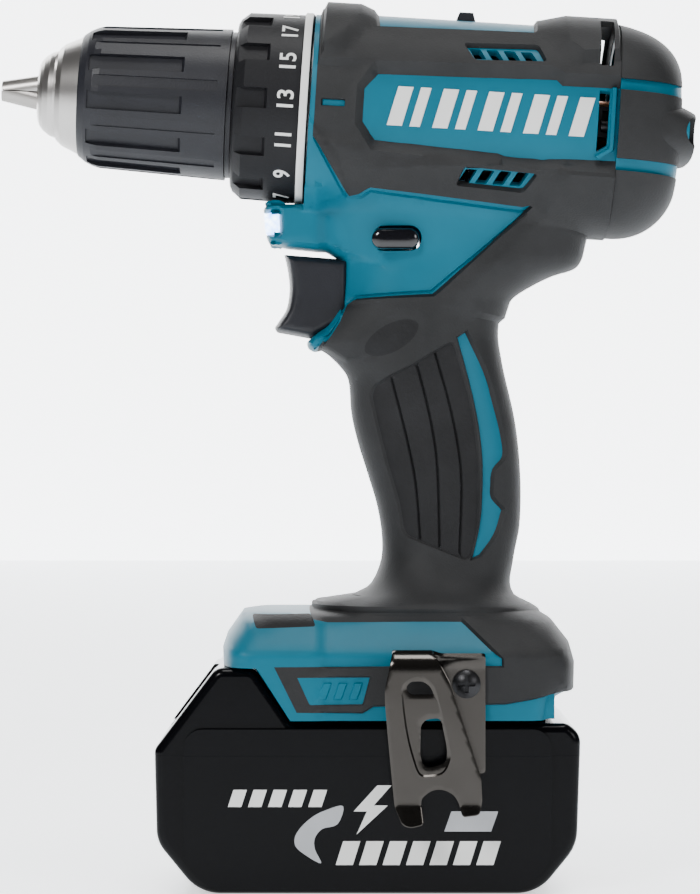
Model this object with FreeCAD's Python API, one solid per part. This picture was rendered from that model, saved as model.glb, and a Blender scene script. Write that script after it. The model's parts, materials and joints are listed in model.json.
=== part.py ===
import FreeCAD
import Part
import math
import os

# Pistol-grip cordless drill driver with a keyless three-jaw chuck and a slide-on battery.
# Row frame: millimetres, +Z up, origin at the middle of the battery's base face.
# The chuck points towards -X. The barrel's axis rises by TILT towards the chuck.
# Barrel frame: x runs back along the barrel's axis from the point above the origin, z is
# square to the axis, and `on_barrel` carries a shape from the barrel frame to the row frame.

V = FreeCAD.Vector

# ---------------------------------------------------------------- driving dimensions
TILT = 3.6                       # degrees between the barrel's axis and the battery's base
AXIS_HEIGHT = 213.9              # height of the barrel's axis above the origin
RUBBER = 1.6                     # thickness of the soft overmould
WALL = 2.6                       # thickness of the hard shell
SPLIT_GAP = 0.02                 # half the gap between the two shells
FIT = 0.05                       # radial running clearance

FRONT_FACE = -15.8               # shell's front face, along the barrel
COVER_SEAM = 68.3                # seam between the shells and the rear cover
REAR_END = 90.0                  # rearmost point of the rear cover
GEAR_CASE_R = 21.8
GEAR_BORE_R = 19.5
NOSE_R = 16.6                    # gear case nose, which carries the torque ring
SPINDLE_R = 6.0

# (place along the barrel, half width, top, bottom, squareness) of the hard barrel
BARREL = [
    (-15.8, 25.3, 25.3, -25.3, 2.0),
    (-11.0, 26.4, 26.2, -26.4, 2.1),
    (0.0, 28.0, 26.8, -27.2, 2.3),
    (30.0, 28.7, 27.0, -28.0, 2.4),
    (68.3, 29.4, 27.2, -29.0, 2.4),
]
# the same for the rear cover, which closes in towards its end
COVER = [
    (68.4, 29.4, 27.2, -29.0, 2.4),
    (75.0, 29.0, 25.6, -28.4, 2.4),
    (81.0, 26.8, 22.6, -25.4, 2.4),
    (84.8, 23.0, 18.6, -21.0, 2.4),
    (86.0, 20.5, 16.0, -18.4, 2.4),
]
# (height, front, rear, half width) of the soft outer face of the neck and grip
GRIP = [
    (197.0, -13.0, 60.0, 23.5),
    (187.0, -11.5, 59.0, 22.0),
    (178.0, -9.0, 55.0, 20.4),
    (170.5, -7.8, 47.5, 19.4),
    (163.0, -8.0, 40.0, 18.6),
    (155.0, -11.0, 37.4, 18.0),
    (147.0, -9.5, 37.8, 17.4),
    (139.0, -5.4, 39.2, 16.8),
    (130.0, -4.4, 41.3, 16.4),
    (120.0, -2.2, 43.0, 16.2),
    (110.0, 1.0, 43.6, 16.2),
    (100.0, 3.6, 43.0, 16.4),
    (92.0, 4.3, 41.8, 17.2),
    (85.5, 2.6, 40.6, 19.6),
    (80.5, -3.0, 41.6, 24.0),
    (77.0, -13.0, 47.5, 29.5),
    (74.5, -16.0, 49.0, 30.5),
]
GRIP_SQUARENESS = 2.5

FOOT_HALF = 36.6                 # half width of the foot's hard shell
FOOT_RUBBER = 0.9                # how far the foot's soft bands stand out of it
FOOT_BASE = 46.8                 # underside of the foot's side walls
FOOT_SHOULDER = 65.0             # where the foot's sides start to lean in
FOOT_TOP = 75.6
FOOT_TOP_HALF = 29.0
BAY_HALF = 27.5                  # battery bay inside the foot
BAY_TOP = 60.6
RAIL = 2.6                       # how far each rail stands into the bay
RAIL_LOW, RAIL_HIGH = 49.2, 51.6

PACK_HALF = 35.0                 # battery case, between its raised side panels
PACK_PANEL_HALF = 37.1
PACK_TOP = 46.0
TOWER_HALF = 26.9
TOWER_TOP = 59.4

# planetary stages: module, sun teeth, planet teeth, ring teeth
FIRST = (0.7, 18, 15, 48)
SECOND = (0.7, 21, 12, 45)
THIRD = (0.8, 18, 12, 42)
BACKLASH = 0.16
PRESSURE = math.radians(20)
PLANETS = 3

JAW_SLOPE = math.radians(12.5)   # jaw bores lean in towards the tip by this angle
JAW_R = 3.0
JAW_PHASE = 30.0                 # first jaw's place, in degrees from straight up
JAW_TIP = -102.3
JAW_LENGTH = 28.0
JAW_TIP_R = 2.8                  # outer radius of the closed jaws at their tip
CHUCK_RIBS = 11
RING_NOTCHES = 12

COVER_SCREW_Y, COVER_SCREW_Z = 22.5, -1.6

CLIP_THICK = 1.3
CLIP_GAP = 7.8
CLIP_SEAT = -(FOOT_HALF + FOOT_RUBBER)
CLIP_BACK = CLIP_SEAT - CLIP_THICK
CLIP_FRONT = CLIP_BACK - CLIP_GAP


# ---------------------------------------------------------------- helpers
def on_barrel(shape):
    placed = shape.copy()
    placed.rotate(V(0, 0, 0), V(0, 1, 0), TILT)
    placed.translate(V(0, 0, AXIS_HEIGHT))
    return placed


def fuse(shapes):
    shapes = list(shapes)
    if len(shapes) == 1:
        return shapes[0]
    return shapes[0].fuse(shapes[1:]).removeSplitter()


def join(shapes):
    """Fuse shapes one after another, for forms too intricate to fuse at once."""
    whole = shapes[0]
    for shape in shapes[1:]:
        whole = whole.fuse(shape)
    return whole


def carve(shape, cuts):
    """Cut shapes away one after another."""
    for cut in cuts:
        shape = shape.cut(cut)
    return shape


def group(shapes):
    solids = []
    for shape in shapes:
        solids += shape.Solids
    return Part.makeCompound(solids)


def cylinder(start, end, radius):
    """Solid cylinder about the barrel's axis, between two places along it."""
    return Part.makeCylinder(radius, end - start, V(start, 0, 0), V(1, 0, 0))


def tube(start, end, inner, outer):
    return cylinder(start, end, outer).cut(cylinder(start - 1, end + 1, inner))


def turned(profile):
    """Solid of revolution about the barrel's axis from (place, radius) points."""
    wire = Part.makePolygon([V(x, 0, r) for x, r in profile + profile[:1]])
    return Part.Face(wire).revolve(V(0, 0, 0), V(1, 0, 0), 360)


def box(low, high):
    size = [b - a for a, b in zip(low, high)]
    return Part.makeBox(*size, V(*low))


def prism(points, low, high):
    """Side-view outline of (x, z) points, carried across from y = low to y = high."""
    wire = Part.makePolygon([V(x, low, z) for x, z in points + points[:1]])
    return Part.Face(wire).extrude(V(0, high - low, 0))


def rounded(points, radii):
    """Closed side-view wire of (x, z) corners, each rounded to its own radius."""
    edges, ends = [], []
    count = len(points)
    for i, (x, z) in enumerate(points):
        corner = V(x, 0, z)
        before = V(points[i - 1][0], 0, points[i - 1][1]) - corner
        after = V(points[(i + 1) % count][0], 0, points[(i + 1) % count][1]) - corner
        before.normalize()
        after.normalize()
        half = before.getAngle(after) / 2
        radius = radii[i] if isinstance(radii, (list, tuple)) else radii
        if radius <= 0:
            ends.append((corner, None, corner))
            continue
        reach = radius / math.tan(half)
        middle = before + after
        middle.normalize()
        bow = corner + middle * (radius / math.sin(half) - radius)
        ends.append((corner + before * reach, bow, corner + after * reach))
    for i, (first, bow, last) in enumerate(ends):
        if bow is not None:
            edges.append(Part.Arc(first, bow, last).toShape())
        following = ends[(i + 1) % count][0]
        if last.distanceToPoint(following) > 1e-6:
            edges.append(Part.LineSegment(last, following).toShape())
    return Part.Wire(edges)


def rounded_prism(points, radii, low, high):
    wire = rounded(points, radii)
    wire.translate(V(0, low, 0))
    return Part.Face(wire).extrude(V(0, high - low, 0))


def oval(centre, half_u, half_v, squareness, along, across, count=28):
    """Closed smooth superellipse about centre, in the plane of two directions."""
    points = []
    for i in range(count):
        angle = 2 * math.pi * i / count
        c, s = math.cos(angle), math.sin(angle)
        u = half_u * math.copysign(abs(c) ** (2 / squareness), c)
        v = half_v * math.copysign(abs(s) ** (2 / squareness), s)
        points.append(centre + along * u + across * v)
    curve = Part.BSplineCurve()
    curve.interpolate(points, PeriodicFlag=True)
    return Part.Wire([curve.toShape()])


def barrel_loft(sections, grow=0.0):
    wires = []
    for place, half, top, bottom, squareness in sections:
        centre = V(place, 0, (top + bottom) / 2)
        height = (top - bottom) / 2 + grow
        wires.append(oval(centre, half + grow, height, squareness, V(0, 1, 0), V(0, 0, 1)))
    return Part.makeLoft(wires, True, False)


def grip_loft(inset=0.0, low=-1.0):
    wires = []
    for height, front, rear, half in GRIP:
        if height < low:
            continue
        centre = V((front + rear) / 2, 0, height)
        length = (rear - front) / 2 - inset
        wires.append(oval(centre, length, half - inset, GRIP_SQUARENESS, V(1, 0, 0), V(0, 1, 0)))
    return Part.makeLoft(wires, True, False)


def halves(solid):
    """Left (-Y) and right (+Y) halves of a solid that spans the middle plane."""
    left = solid.common(box((-150, -80, -10), (150, -SPLIT_GAP, 300)))
    right = solid.common(box((-150, SPLIT_GAP, -10), (150, 80, 300)))
    return left, right


def ring_of(shape, count, start=0.0):
    """Copies of a shape about the barrel's axis, the first at `start` degrees."""
    copies = []
    for i in range(count):
        copy = shape.copy()
        copy.rotate(V(0, 0, 0), V(1, 0, 0), start + 360.0 * i / count)
        copies.append(copy)
    return copies


# ---------------------------------------------------------------- gears
def involute(angle):
    return math.tan(angle) - angle


def tooth_outline(module, teeth, tip_r, root_r, thickness, phase):
    """Closed polygon of an external gear in the y-z plane, a tooth centred at `phase`."""
    pitch_r = module * teeth / 2
    base_r = pitch_r * math.cos(PRESSURE)
    flank = [root_r]
    start = max(base_r, root_r)
    flank += [start + (tip_r - start) * k / 4 for k in range(5)]
    offsets = []
    for r in flank:
        roll = math.acos(min(1.0, base_r / r))
        half = thickness / 2 / pitch_r + involute(PRESSURE) - involute(roll)
        offsets.append((r, half))
    points = []
    for i in range(teeth):
        middle = phase + 2 * math.pi * i / teeth
        rising = [(r, middle - half) for r, half in offsets]
        falling = [(r, middle + half) for r, half in reversed(offsets)]
        for r, angle in rising + falling:
            points.append(V(0, r * math.sin(angle), r * math.cos(angle)))
    return Part.makePolygon(points + points[:1])


def external_gear(stage_module, teeth, start, end, phase=0.0):
    pitch_r = stage_module * teeth / 2
    thickness = math.pi * stage_module / 2 - BACKLASH
    wire = tooth_outline(stage_module, teeth, pitch_r + 0.9 * stage_module,
                         pitch_r - 1.2 * stage_module, thickness, phase)
    wire.translate(V(start, 0, 0))
    return Part.Face(wire).extrude(V(end - start, 0, 0))


def internal_gear(stage_module, teeth, start, end, outer_r, phase):
    pitch_r = stage_module * teeth / 2
    thickness = math.pi * stage_module / 2 + BACKLASH
    wire = tooth_outline(stage_module, teeth, pitch_r + 1.15 * stage_module,
                         pitch_r - 0.8 * stage_module, thickness, phase)
    wire.translate(V(start - 1, 0, 0))
    cutter = Part.Face(wire).extrude(V(end - start + 2, 0, 0))
    return cylinder(start, end, outer_r).cut(cutter)


def planet_centre(stage):
    module, sun, planet, _ = stage
    return module * (sun + planet) / 2


def planets(stage, start, end, pin_r):
    """The stage's planets, in mesh with a sun tooth that points at each of them."""
    module, _, teeth, _ = stage
    gear = external_gear(module, teeth, start, end, math.pi + math.pi / teeth)
    gear = gear.cut(cylinder(start - 1, end + 1, pin_r + FIT))
    gear.translate(V(0, 0, planet_centre(stage)))
    return ring_of(gear, PLANETS)


def ring_gear(stage, start, end, outer_r):
    module, _, planet, teeth = stage
    phase = 0.0 if planet % 2 else math.pi / teeth
    return internal_gear(module, teeth, start, end, outer_r, phase)


def carrier(stage, disc_start, disc_end, disc_r, pin_end, pin_r):
    pin = cylinder(disc_end - 0.5, pin_end, pin_r)
    pin.translate(V(0, 0, planet_centre(stage)))
    return fuse([cylinder(disc_start, disc_end, disc_r)] + ring_of(pin, PLANETS))


# ---------------------------------------------------------------- gearbox and clutch
PIN_R = 1.5
PINION_FRONT, PINION_REAR = 9.0, 16.4
FIRST_FACE = (9.3, 14.6)
FIRST_RING = (9.0, 15.2)
FIRST_DISC = (5.8, 8.8)
SECOND_FACE = (-2.6, 3.4)
SECOND_SUN = (-2.8, 5.9)
SHIFT_RING = (-3.2, 3.8)
SHIFT_TRAVEL = 4.6
SECOND_DISC = (-5.8, -3.0)
THIRD_SUN = (-13.2, -5.7)
THIRD_FACE = (-13.0, -7.0)
CLUTCH_RING = (-13.3, -6.4)
THIRD_DISC = (-17.2, -13.5)
DISC_R = 14.4
CASE_FRONT = -20.2
NOSE_END = -36.0
BEARING = (-34.5, -28.5)


def gear_case():
    outline = [(CASE_FRONT, NOSE_R), (CASE_FRONT, GEAR_CASE_R), (19.0, GEAR_CASE_R),
               (19.0, 8.1), (15.4, 8.1), (15.4, GEAR_BORE_R), (-17.6, GEAR_BORE_R),
               (-17.6, SPINDLE_R + 1.6), (BEARING[1], SPINDLE_R + 1.6), (BEARING[1], 13.0),
               (NOSE_END, 13.0), (NOSE_END, NOSE_R)]
    slot = box((SHIFT_RING[0] + 1, -1.7, GEAR_BORE_R - 2),
               (SHIFT_RING[1] + SHIFT_TRAVEL - 0.6, 1.7, GEAR_CASE_R + 2))
    return turned(outline).cut(slot)


def shift_ring_gear():
    """Sliding ring gear of the two-speed stage, with the fork that joins it to the lever."""
    gear = ring_gear(SECOND, *SHIFT_RING, 18.9)
    finger = box((-0.6, -1.3, 18.0), (1.2, 1.3, 23.2))
    bar = box((-0.6, -1.3, 21.9), (27.6, 1.3, 23.2))
    notch = box((24.7, -3.0, 22.7), (26.5, 3.0, 24.0))
    return fuse([gear, finger, bar]).cut(notch)


def first_carrier():
    sun = external_gear(SECOND[0], SECOND[1], *SECOND_SUN)
    return fuse([carrier(FIRST, *FIRST_DISC, DISC_R, FIRST_FACE[1], PIN_R), sun])


def second_carrier():
    sun = external_gear(THIRD[0], THIRD[1], *THIRD_SUN)
    return fuse([carrier(SECOND, *SECOND_DISC, DISC_R, SECOND_FACE[1], PIN_R), sun])


def output_spindle():
    shaft = cylinder(-53.0, THIRD_DISC[0] + 1, SPINDLE_R)
    return fuse([carrier(THIRD, *THIRD_DISC, 15.8, THIRD_FACE[1], PIN_R + 0.3), shaft])


def bearing(start, end, inner, outer):
    """Ball bearing as two rings with a shoulder race and a row of balls between them."""
    middle, width = (inner + outer) / 2, (outer - inner) / 4
    centre = (start + end) / 2
    rings = [tube(start, end, inner, middle - width / 2), tube(start, end, middle + width / 2, outer)]
    ball = Part.makeSphere(width * 0.49, V(centre, 0, middle))
    return group(rings + ring_of(ball, 9))


def clutch_spring():
    """Round-wire compression spring between the gear case and the adjusting nut."""
    pitch, wire_r, coil_r, turns, steps = 2.4, 0.8, 19.2, 3, 16
    front = -28.3
    sections = []
    for i in range(turns * steps + 1):
        angle = 2 * math.pi * i / steps
        centre = V(front + pitch * i / steps, coil_r * math.sin(angle), coil_r * math.cos(angle))
        along = V(pitch / (2 * math.pi), coil_r * math.cos(angle), -coil_r * math.sin(angle))
        sections.append(Part.Wire([Part.makeCircle(wire_r, centre, along)]))
    return Part.makeLoft(sections, True, False)


def clutch_nut():
    return tube(-31.4, -29.3, NOSE_R + 0.1, 21.8)


def torque_ring():
    """Twenty-one step torque ring, with a grip notch every twelfth and a raised rear band."""
    outline = [(-37.0, NOSE_R + 0.15), (-37.0, 22.8), (-36.4, 24.0), (-34.0, 26.0),
               (-20.0, 26.3), (-18.8, 26.3), (-18.5, 26.8), (-16.4, 26.8), (-16.0, 26.4),
               (-16.0, 22.3), (-33.8, 22.3), (-33.8, NOSE_R + 0.15)]
    ring = turned(outline)
    notch = prism([(-38.0, 24.2), (-28.2, 24.6), (-26.6, 27.6), (-38.0, 27.6)], -2.8, 2.8)
    return ring.cut(ring_of(notch, RING_NOTCHES, 90.0))


# ---------------------------------------------------------------- chuck
def jaw_radius(place):
    """Outer radius of the jaws' cone at a place along the barrel."""
    return JAW_TIP_R + (place - JAW_TIP) * math.tan(JAW_SLOPE)


def jaw_rod(start, length, radius):
    """Leaning cylinder that a jaw is cut from, whose outer line lies on the jaws' cone."""
    lean = V(math.cos(JAW_SLOPE), 0, math.sin(JAW_SLOPE))
    centre = jaw_radius(start) - JAW_R / math.cos(JAW_SLOPE)
    return Part.makeCylinder(radius, length, V(start, 0, centre), lean)


def jaws():
    """Three jaws, each within its own third about the axis, square at the tip."""
    rod = jaw_rod(JAW_TIP - 3, JAW_LENGTH + 3, JAW_R)
    rod = rod.cut(box((JAW_TIP - 10, -10, -10), (JAW_TIP, 10, 20)))
    edge = 30 * math.sin(math.radians(60))
    sector = [V(JAW_TIP - 1, 0, 0.18), V(JAW_TIP - 1, edge, 15.18), V(JAW_TIP - 1, edge, 40),
              V(JAW_TIP - 1, -edge, 40), V(JAW_TIP - 1, -edge, 15.18)]
    wedge = Part.Face(Part.makePolygon(sector + sector[:1])).extrude(V(60, 0, 0))
    jaw = rod.common(wedge).cut(cylinder(JAW_TIP - 1, -60, 0.75))
    return ring_of(jaw, 3, JAW_PHASE)


def chuck_body():
    outline = [(-90.4, 6.8), (-90.4, 8.0), (-80.5, 13.4), (-78.0, 15.2), (-66.2, 15.2),
               (-66.2, 10.4), (-60.0, 10.4), (-60.0, 15.2), (-41.0, 15.2), (-41.0, SPINDLE_R),
               (-53.2, SPINDLE_R), (-53.2, 2.6), (-56.0, 2.6), (-56.0, 6.8)]
    body = turned(outline)
    rod = jaw_rod(-96.0, 54.0, JAW_R + FIT)
    return body.cut(ring_of(rod, 3, JAW_PHASE))


def chuck_screw():
    return fuse([cylinder(-57.6, -56.0, 5.0), cylinder(-56.1, -53.1, 2.6)])


def chuck_nut():
    start, end = -65.9, -60.3
    outline = [(start, jaw_radius(start) + 0.12), (start, 17.4), (end, 17.4),
               (end, jaw_radius(end) + 0.12)]
    return turned(outline)


def chuck_nose():
    outline = [(-91.8, 6.9), (-91.8, 8.2), (-91.2, 9.4), (-90.2, 10.5), (-88.6, 11.6),
               (-87.2, 12.1), (-86.6, 12.1), (-86.5, 12.9), (-85.0, 14.2), (-79.4, 16.8),
               (-76.0, 16.8), (-76.0, 15.35), (-78.0, 15.35), (-80.6, 13.6), (-90.5, 8.2),
               (-90.5, 6.9)]
    return turned(outline)


def chuck_sleeve():
    """Ribbed sleeve: deep finger flutes and shallow pads of fine lines take turns round it."""
    outline = [(-80.0, 16.9), (-79.4, 17.4), (-78.0, 18.4), (-76.0, 19.3), (-74.0, 19.8),
               (-38.8, 21.1), (-38.8, 17.6), (-75.9, 17.6), (-75.9, 16.9)]
    sleeve = turned(outline)
    flute = prism([(-77.2, 18.1), (-51.6, 19.3), (-50.0, 22.0), (-77.2, 22.0)], -2.4, 2.4)
    pad = prism([(-76.4, 19.3), (-41.4, 20.6), (-41.4, 22.0), (-76.4, 22.0)], -1.6, 1.6)
    turn = 360.0 / CHUCK_RIBS
    cuts = ring_of(flute, CHUCK_RIBS, 98.2) + ring_of(pad, CHUCK_RIBS, 98.2 + turn / 2)
    return sleeve.cut(cuts)


def chuck_collar():
    return tube(-38.6, -37.3, 15.6, 20.4).fuse(tube(-42.5, -37.3, 15.3, 17.3)).removeSplitter()


# ---------------------------------------------------------------- motor
SHAFT_R = 2.5
YOKE = (29.0, 59.5)
ROTOR_R = 15.6


def motor_shaft():
    """Rotor shaft with the pinion of the first stage cut on its front end."""
    pinion = external_gear(FIRST[0], FIRST[1], PINION_FRONT, PINION_REAR - 1.2)
    return fuse([pinion, cylinder(PINION_REAR - 1.3, 79.0, SHAFT_R)])


def rotor_core():
    core = tube(33.0, 56.0, SHAFT_R, ROTOR_R)
    slot = fuse([box((32.0, -1.2, 8.0), (57.0, 1.2, 14.0)), box((32.0, -0.5, 13.5), (57.0, 0.5, 17.0))])
    return core.cut(ring_of(slot, 12))


def rotor_windings():
    """Copper end turns at both ends of the core, joined through its slots."""
    bars = ring_of(box((32.9, -1.0, 8.3), (56.1, 1.0, 13.2)), 12)
    front = turned([(27.6, 7.0), (27.6, 12.4), (29.6, 14.4), (33.0, 14.6), (33.0, 7.0)])
    rear = turned([(56.0, 7.0), (56.0, 14.6), (59.4, 14.4), (61.0, 12.4), (61.0, 7.0)])
    return fuse([front, rear] + bars)


def commutator():
    drum = tube(62.4, 72.0, SHAFT_R, 7.6)
    groove = box((62.0, -0.2, 7.0), (70.5, 0.2, 8.2))
    return drum.cut(ring_of(groove, 12))


def cooling_fan():
    disc = tube(25.2, 26.4, SHAFT_R, 21.4)
    hub = tube(19.8, 26.4, SHAFT_R, 5.5)
    blade = box((20.2, -0.6, 5.2), (25.8, 0.6, 21.2))
    blade.rotate(V(23.0, 0, 0), V(0, 0, 1), 12)
    return fuse([disc, hub] + ring_of(blade, 9))


def motor_magnets():
    shell = tube(31.0, 57.5, ROTOR_R + 0.6, 19.4)
    gap = box((30.0, -25.0, -2.4), (59.0, 25.0, 2.4))
    gap_across = gap.copy()
    gap_across.rotate(V(0, 0, 0), V(1, 0, 0), 90)
    return shell.cut([gap, gap_across])


def motor_yoke():
    """Flux ring, with a slot in its front edge that clears the gear shift bar."""
    return tube(*YOKE, 19.5, 22.4).cut(box((YOKE[0] - 1, -1.7, 15.0), (32.8, 1.7, 25.0)))


def brush_holder():
    """End bell with the rear bearing seat and the two boxes that guide the brushes."""
    bell = turned([(73.0, 8.1), (73.0, 22.0), (75.0, 22.0), (75.0, 10.6), (79.6, 10.6),
                   (79.6, 3.2), (78.4, 3.2), (78.4, 8.1)])
    window = box((72.0, -7.0, 12.0), (76.0, 7.0, 20.0))
    bell = bell.cut(ring_of(window, 4, 45.0))
    arm = box((63.6, -4.2, 9.4), (73.4, 4.2, 18.2))
    arm = arm.cut(box((64.6, -3.1, 8.0), (70.8, 3.1, 20.0)))
    return fuse([bell.common(box((60, -18.3, -30), (90, 18.3, 30)))] + ring_of(arm, 2, 90.0))


def carbon_brushes():
    brush = box((64.7, -3.0, 7.8), (70.7, 3.0, 15.5))
    contact = Part.makeCylinder(7.75, 20, V(60, 0, 0), V(1, 0, 0))
    return group(ring_of(brush.cut(contact), 2, 90.0))


def motor_bearings():
    return group([bearing(15.6, 18.9, SHAFT_R + FIT, 8.0),
                  bearing(73.4, 78.2, SHAFT_R + FIT, 8.0)])


# ---------------------------------------------------------------- shells and overmoulds
SNOUT = [(-28.8, 187.4), (-28.2, 181.0), (-27.4, 177.6), (-25.5, 176.2), (-10.5, 173.6),
         (0.0, 172.0), (4.0, 196.0), (-13.4, 192.0), (-14.2, 187.9)]
SNOUT_HALF = 11.0
GUARD_CENTRE = (-26.5, 171.5)    # centre of the arc that the trigger's rear rim follows
GUARD_INNER, GUARD_OUTER = 20.0, 22.8
GUARD_HOOK = [(-18.2, 150.0), (-17.2, 148.4), (-15.0, 147.0), (-10.5, 148.2), (-6.0, 147.0),
              (-4.0, 150.0)]
FOOT_SIDE = [(-39.6, 61.4), (-39.8, 66.0), (-34.0, FOOT_TOP), (46.0, FOOT_TOP),
             (55.0, 67.0), (56.4, 62.0), (56.4, 54.0), (52.0, 51.6), (51.0, FOOT_BASE + 1),
             (-20.6, FOOT_BASE), (-30.0, 61.4)]
FOOT_RUBBER_SIDE = [(26.0, 74.4), (37.0, 63.6), (-25.0, 62.0), (-18.4, 49.6), (2.0, 49.4),
                    (5.0, 51.8), (37.0, 51.8), (57.0, 54.0), (60.0, 70.0), (46.0, 80.0),
                    (-15.5, 78.0), (-14.5, 74.0)]
BADGE = [(-20.0, 59.2), (2.6, 59.0), (-0.6, 50.8), (-15.6, 51.2)]
# label panel and the soft bands round it, in the barrel frame
LABEL_PANEL = [(2.3, 9.3), (51.0, 10.7), (52.4, 9.0), (68.3, 8.8), (68.3, -13.0),
               (50.0, -12.4), (2.5, -10.2), (-1.3, -5.0), (-1.3, 4.5)]
SIDE_BAND = [(-13.8, 40.0), (-13.8, -9.0), (-3.2, -24.6), (1.6, -22.2), (47.0, -25.0),
             (68.3, -42.0), (68.3, 40.0)]
TOP_STRIP = [(3.0, 22.4), (46.0, 23.2), (46.0, 40.0), (-1.0, 40.0)]
GRIP_RUBBER = [(68.3, 202.0), (44.0, 187.6), (19.0, 162.0), (-4.0, 161.0), (-10.6, 148.6),
               (-40.0, 148.6), (-40.0, 70.0), (90.0, 70.0), (90.0, 202.0)]
GRIP_WINDOW = [(24.6, 150.0), (27.6, 153.0), (33.4, 143.0), (37.4, 130.0), (38.6, 117.0),
               (35.0, 113.6), (34.8, 107.0), (38.0, 103.4), (34.0, 95.0), (28.4, 88.8),
               (31.4, 105.0), (31.4, 125.0), (28.6, 140.0)]
COVER_BANDS = [[(60.0, 11.4), (90.0, 10.8), (90.0, 7.4), (60.0, 8.3)],
               [(60.0, -10.4), (90.0, -11.0), (90.0, -14.4), (60.0, -13.6)]]


def vent_slots(low, high, lean):
    """Four leaning louvre slots through both sides of the barrel, in the barrel frame."""
    slots = []
    for i in range(4):
        x = 28.6 + 4.6 * i
        slots.append(prism([(x, low), (x + 2.9, low), (x + 2.9 + lean, high), (x + lean, high)],
                           -45, 45))
    return slots


def foot_block(grow=0.0):
    """Foot with rounded plan corners and shoulders that lean in, before the bay is cut."""
    middle_x, middle_z = 8.3, 61.2
    stretch_x = 1 + grow / 48.1
    stretch_z = 1 + grow / 14.4
    side = [(middle_x + (x - middle_x) * stretch_x, middle_z + (z - middle_z) * stretch_z)
            for x, z in FOOT_SIDE]
    half = FOOT_HALF + grow
    block = rounded_prism(side, [3, 3, 5, 12, 5, 2, 2, 2, 1, 1, 2], -half, half)
    low, high = -39.8 - grow, 56.4 + grow
    plan = rounded([(low, -half), (high, -half), (high, half), (low, half)], [9, 9, 9, 9])
    plan.rotate(V(0, 0, 0), V(1, 0, 0), 90)
    plan.translate(V(0, 0, 30.0))
    top_half = FOOT_TOP_HALF + grow
    front = rounded([(-half, 30.0), (half, 30.0), (half, FOOT_SHOULDER),
                     (top_half, FOOT_TOP + 0.5), (-top_half, FOOT_TOP + 0.5),
                     (-half, FOOT_SHOULDER)], [0, 0, 8, 4, 4, 8])
    front.rotate(V(0, 0, 0), V(0, 0, 1), 90)
    front.translate(V(-60.0, 0, 0))
    plan_block = Part.Face(plan).extrude(V(0, 0, 60))
    front_block = Part.Face(front).extrude(V(140, 0, 0))
    return block.common(plan_block).common(front_block)


def snout():
    block = prism(SNOUT, -SNOUT_HALF, SNOUT_HALF)
    return block


def trigger_guard():
    """Curved rim on both sides of the trigger, over a small finger hook."""
    cx, cz = GUARD_CENTRE
    ring = Part.makeCylinder(GUARD_OUTER, 2 * 11.4, V(cx, -11.4, cz), V(0, 1, 0))
    ring = ring.cut(Part.makeCylinder(GUARD_INNER, 30, V(cx, -15, cz), V(0, 1, 0)))
    keep = prism([(-18.4, 150.0), (-18.4, 160.0), (-12.0, 174.0), (4.0, 174.0), (4.0, 150.0)], -20, 20)
    return fuse([ring.common(keep), prism(GUARD_HOOK, -11.4, 11.4)])


def hard_envelope():
    barrel = on_barrel(barrel_loft(BARREL))
    return join([barrel, grip_loft(RUBBER), snout(), foot_block(), trigger_guard()])


def throat():
    """Opening that the trigger is pulled back into."""
    outline = [(-40.0, 150.0), (-6.8, 150.0), (3.4, 155.4), (8.0, 155.4), (8.0, 173.6),
               (-40.0, 173.6)]
    return prism(outline, -8.4, 8.4)


def inner_cavity():
    """Everything inside the shells: barrel bore, grip hollow, switch room and battery bay."""
    bore = on_barrel(cylinder(FRONT_FACE - 1, COVER_SEAM + 2, GEAR_CASE_R + FIT))
    room = cylinder(19.2, COVER_SEAM + 2, 24.6)
    for side in (-1, 1):
        post = cylinder(61.0, COVER_SEAM + 1, 3.6)
        post.translate(V(0, side * COVER_SCREW_Y, COVER_SCREW_Z))
        room = room.cut(post)
    room = on_barrel(room)
    grip = grip_loft(RUBBER + WALL).common(box((-60, -40, 78.0), (90, 40, 190.0)))
    led = box((-40.0, -6.0, 178.8), (-15.0, 6.0, 187.6))
    bay = box((-60.0, -BAY_HALF, 40.0), (49.0, BAY_HALF, BAY_TOP))
    attic = box((-34.0, -26.0, BAY_TOP - 1), (46.0, 26.0, FOOT_TOP - 2.6))
    attic_neck = box((7.0, -13.0, FOOT_TOP - 3), (37.0, 13.0, 80.0))
    catch = box((-45.0, -5.6, 60.0), (-32.6, 5.6, 64.4))
    return [bore, room, grip, led, throat(), bay, attic, attic_neck, catch]


def rails():
    parts = []
    for side in (-1, 1):
        low, high = sorted((side * (BAY_HALF - RAIL), side * (BAY_HALF + 1)))
        parts.append(box((-16.0, low, RAIL_LOW), (47.0, high, RAIL_HIGH)))
    return parts


def lever_slot():
    """Opening for the speed lever's thumb block, over the pocket that its plate slides in."""
    slot = box((22.4, -5.7, 20.0), (33.9, 5.7, 40.0))
    pocket = box((17.0, -7.2, 20.0), (44.0, 7.2, 25.0))
    channel = box((-3.0, -2.0, 20.0), (18.0, 2.0, 23.6))
    return on_barrel(fuse([slot, pocket, channel]))


def screw_places():
    """Row-frame (x, z) of the screws that hold the shells together."""
    return [(-9.5, 183.6), (46.0, 177.0), (15.5, 145.0), (13.4, 92.0), (-25.5, 67.0), (51.5, 64.5)]


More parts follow.
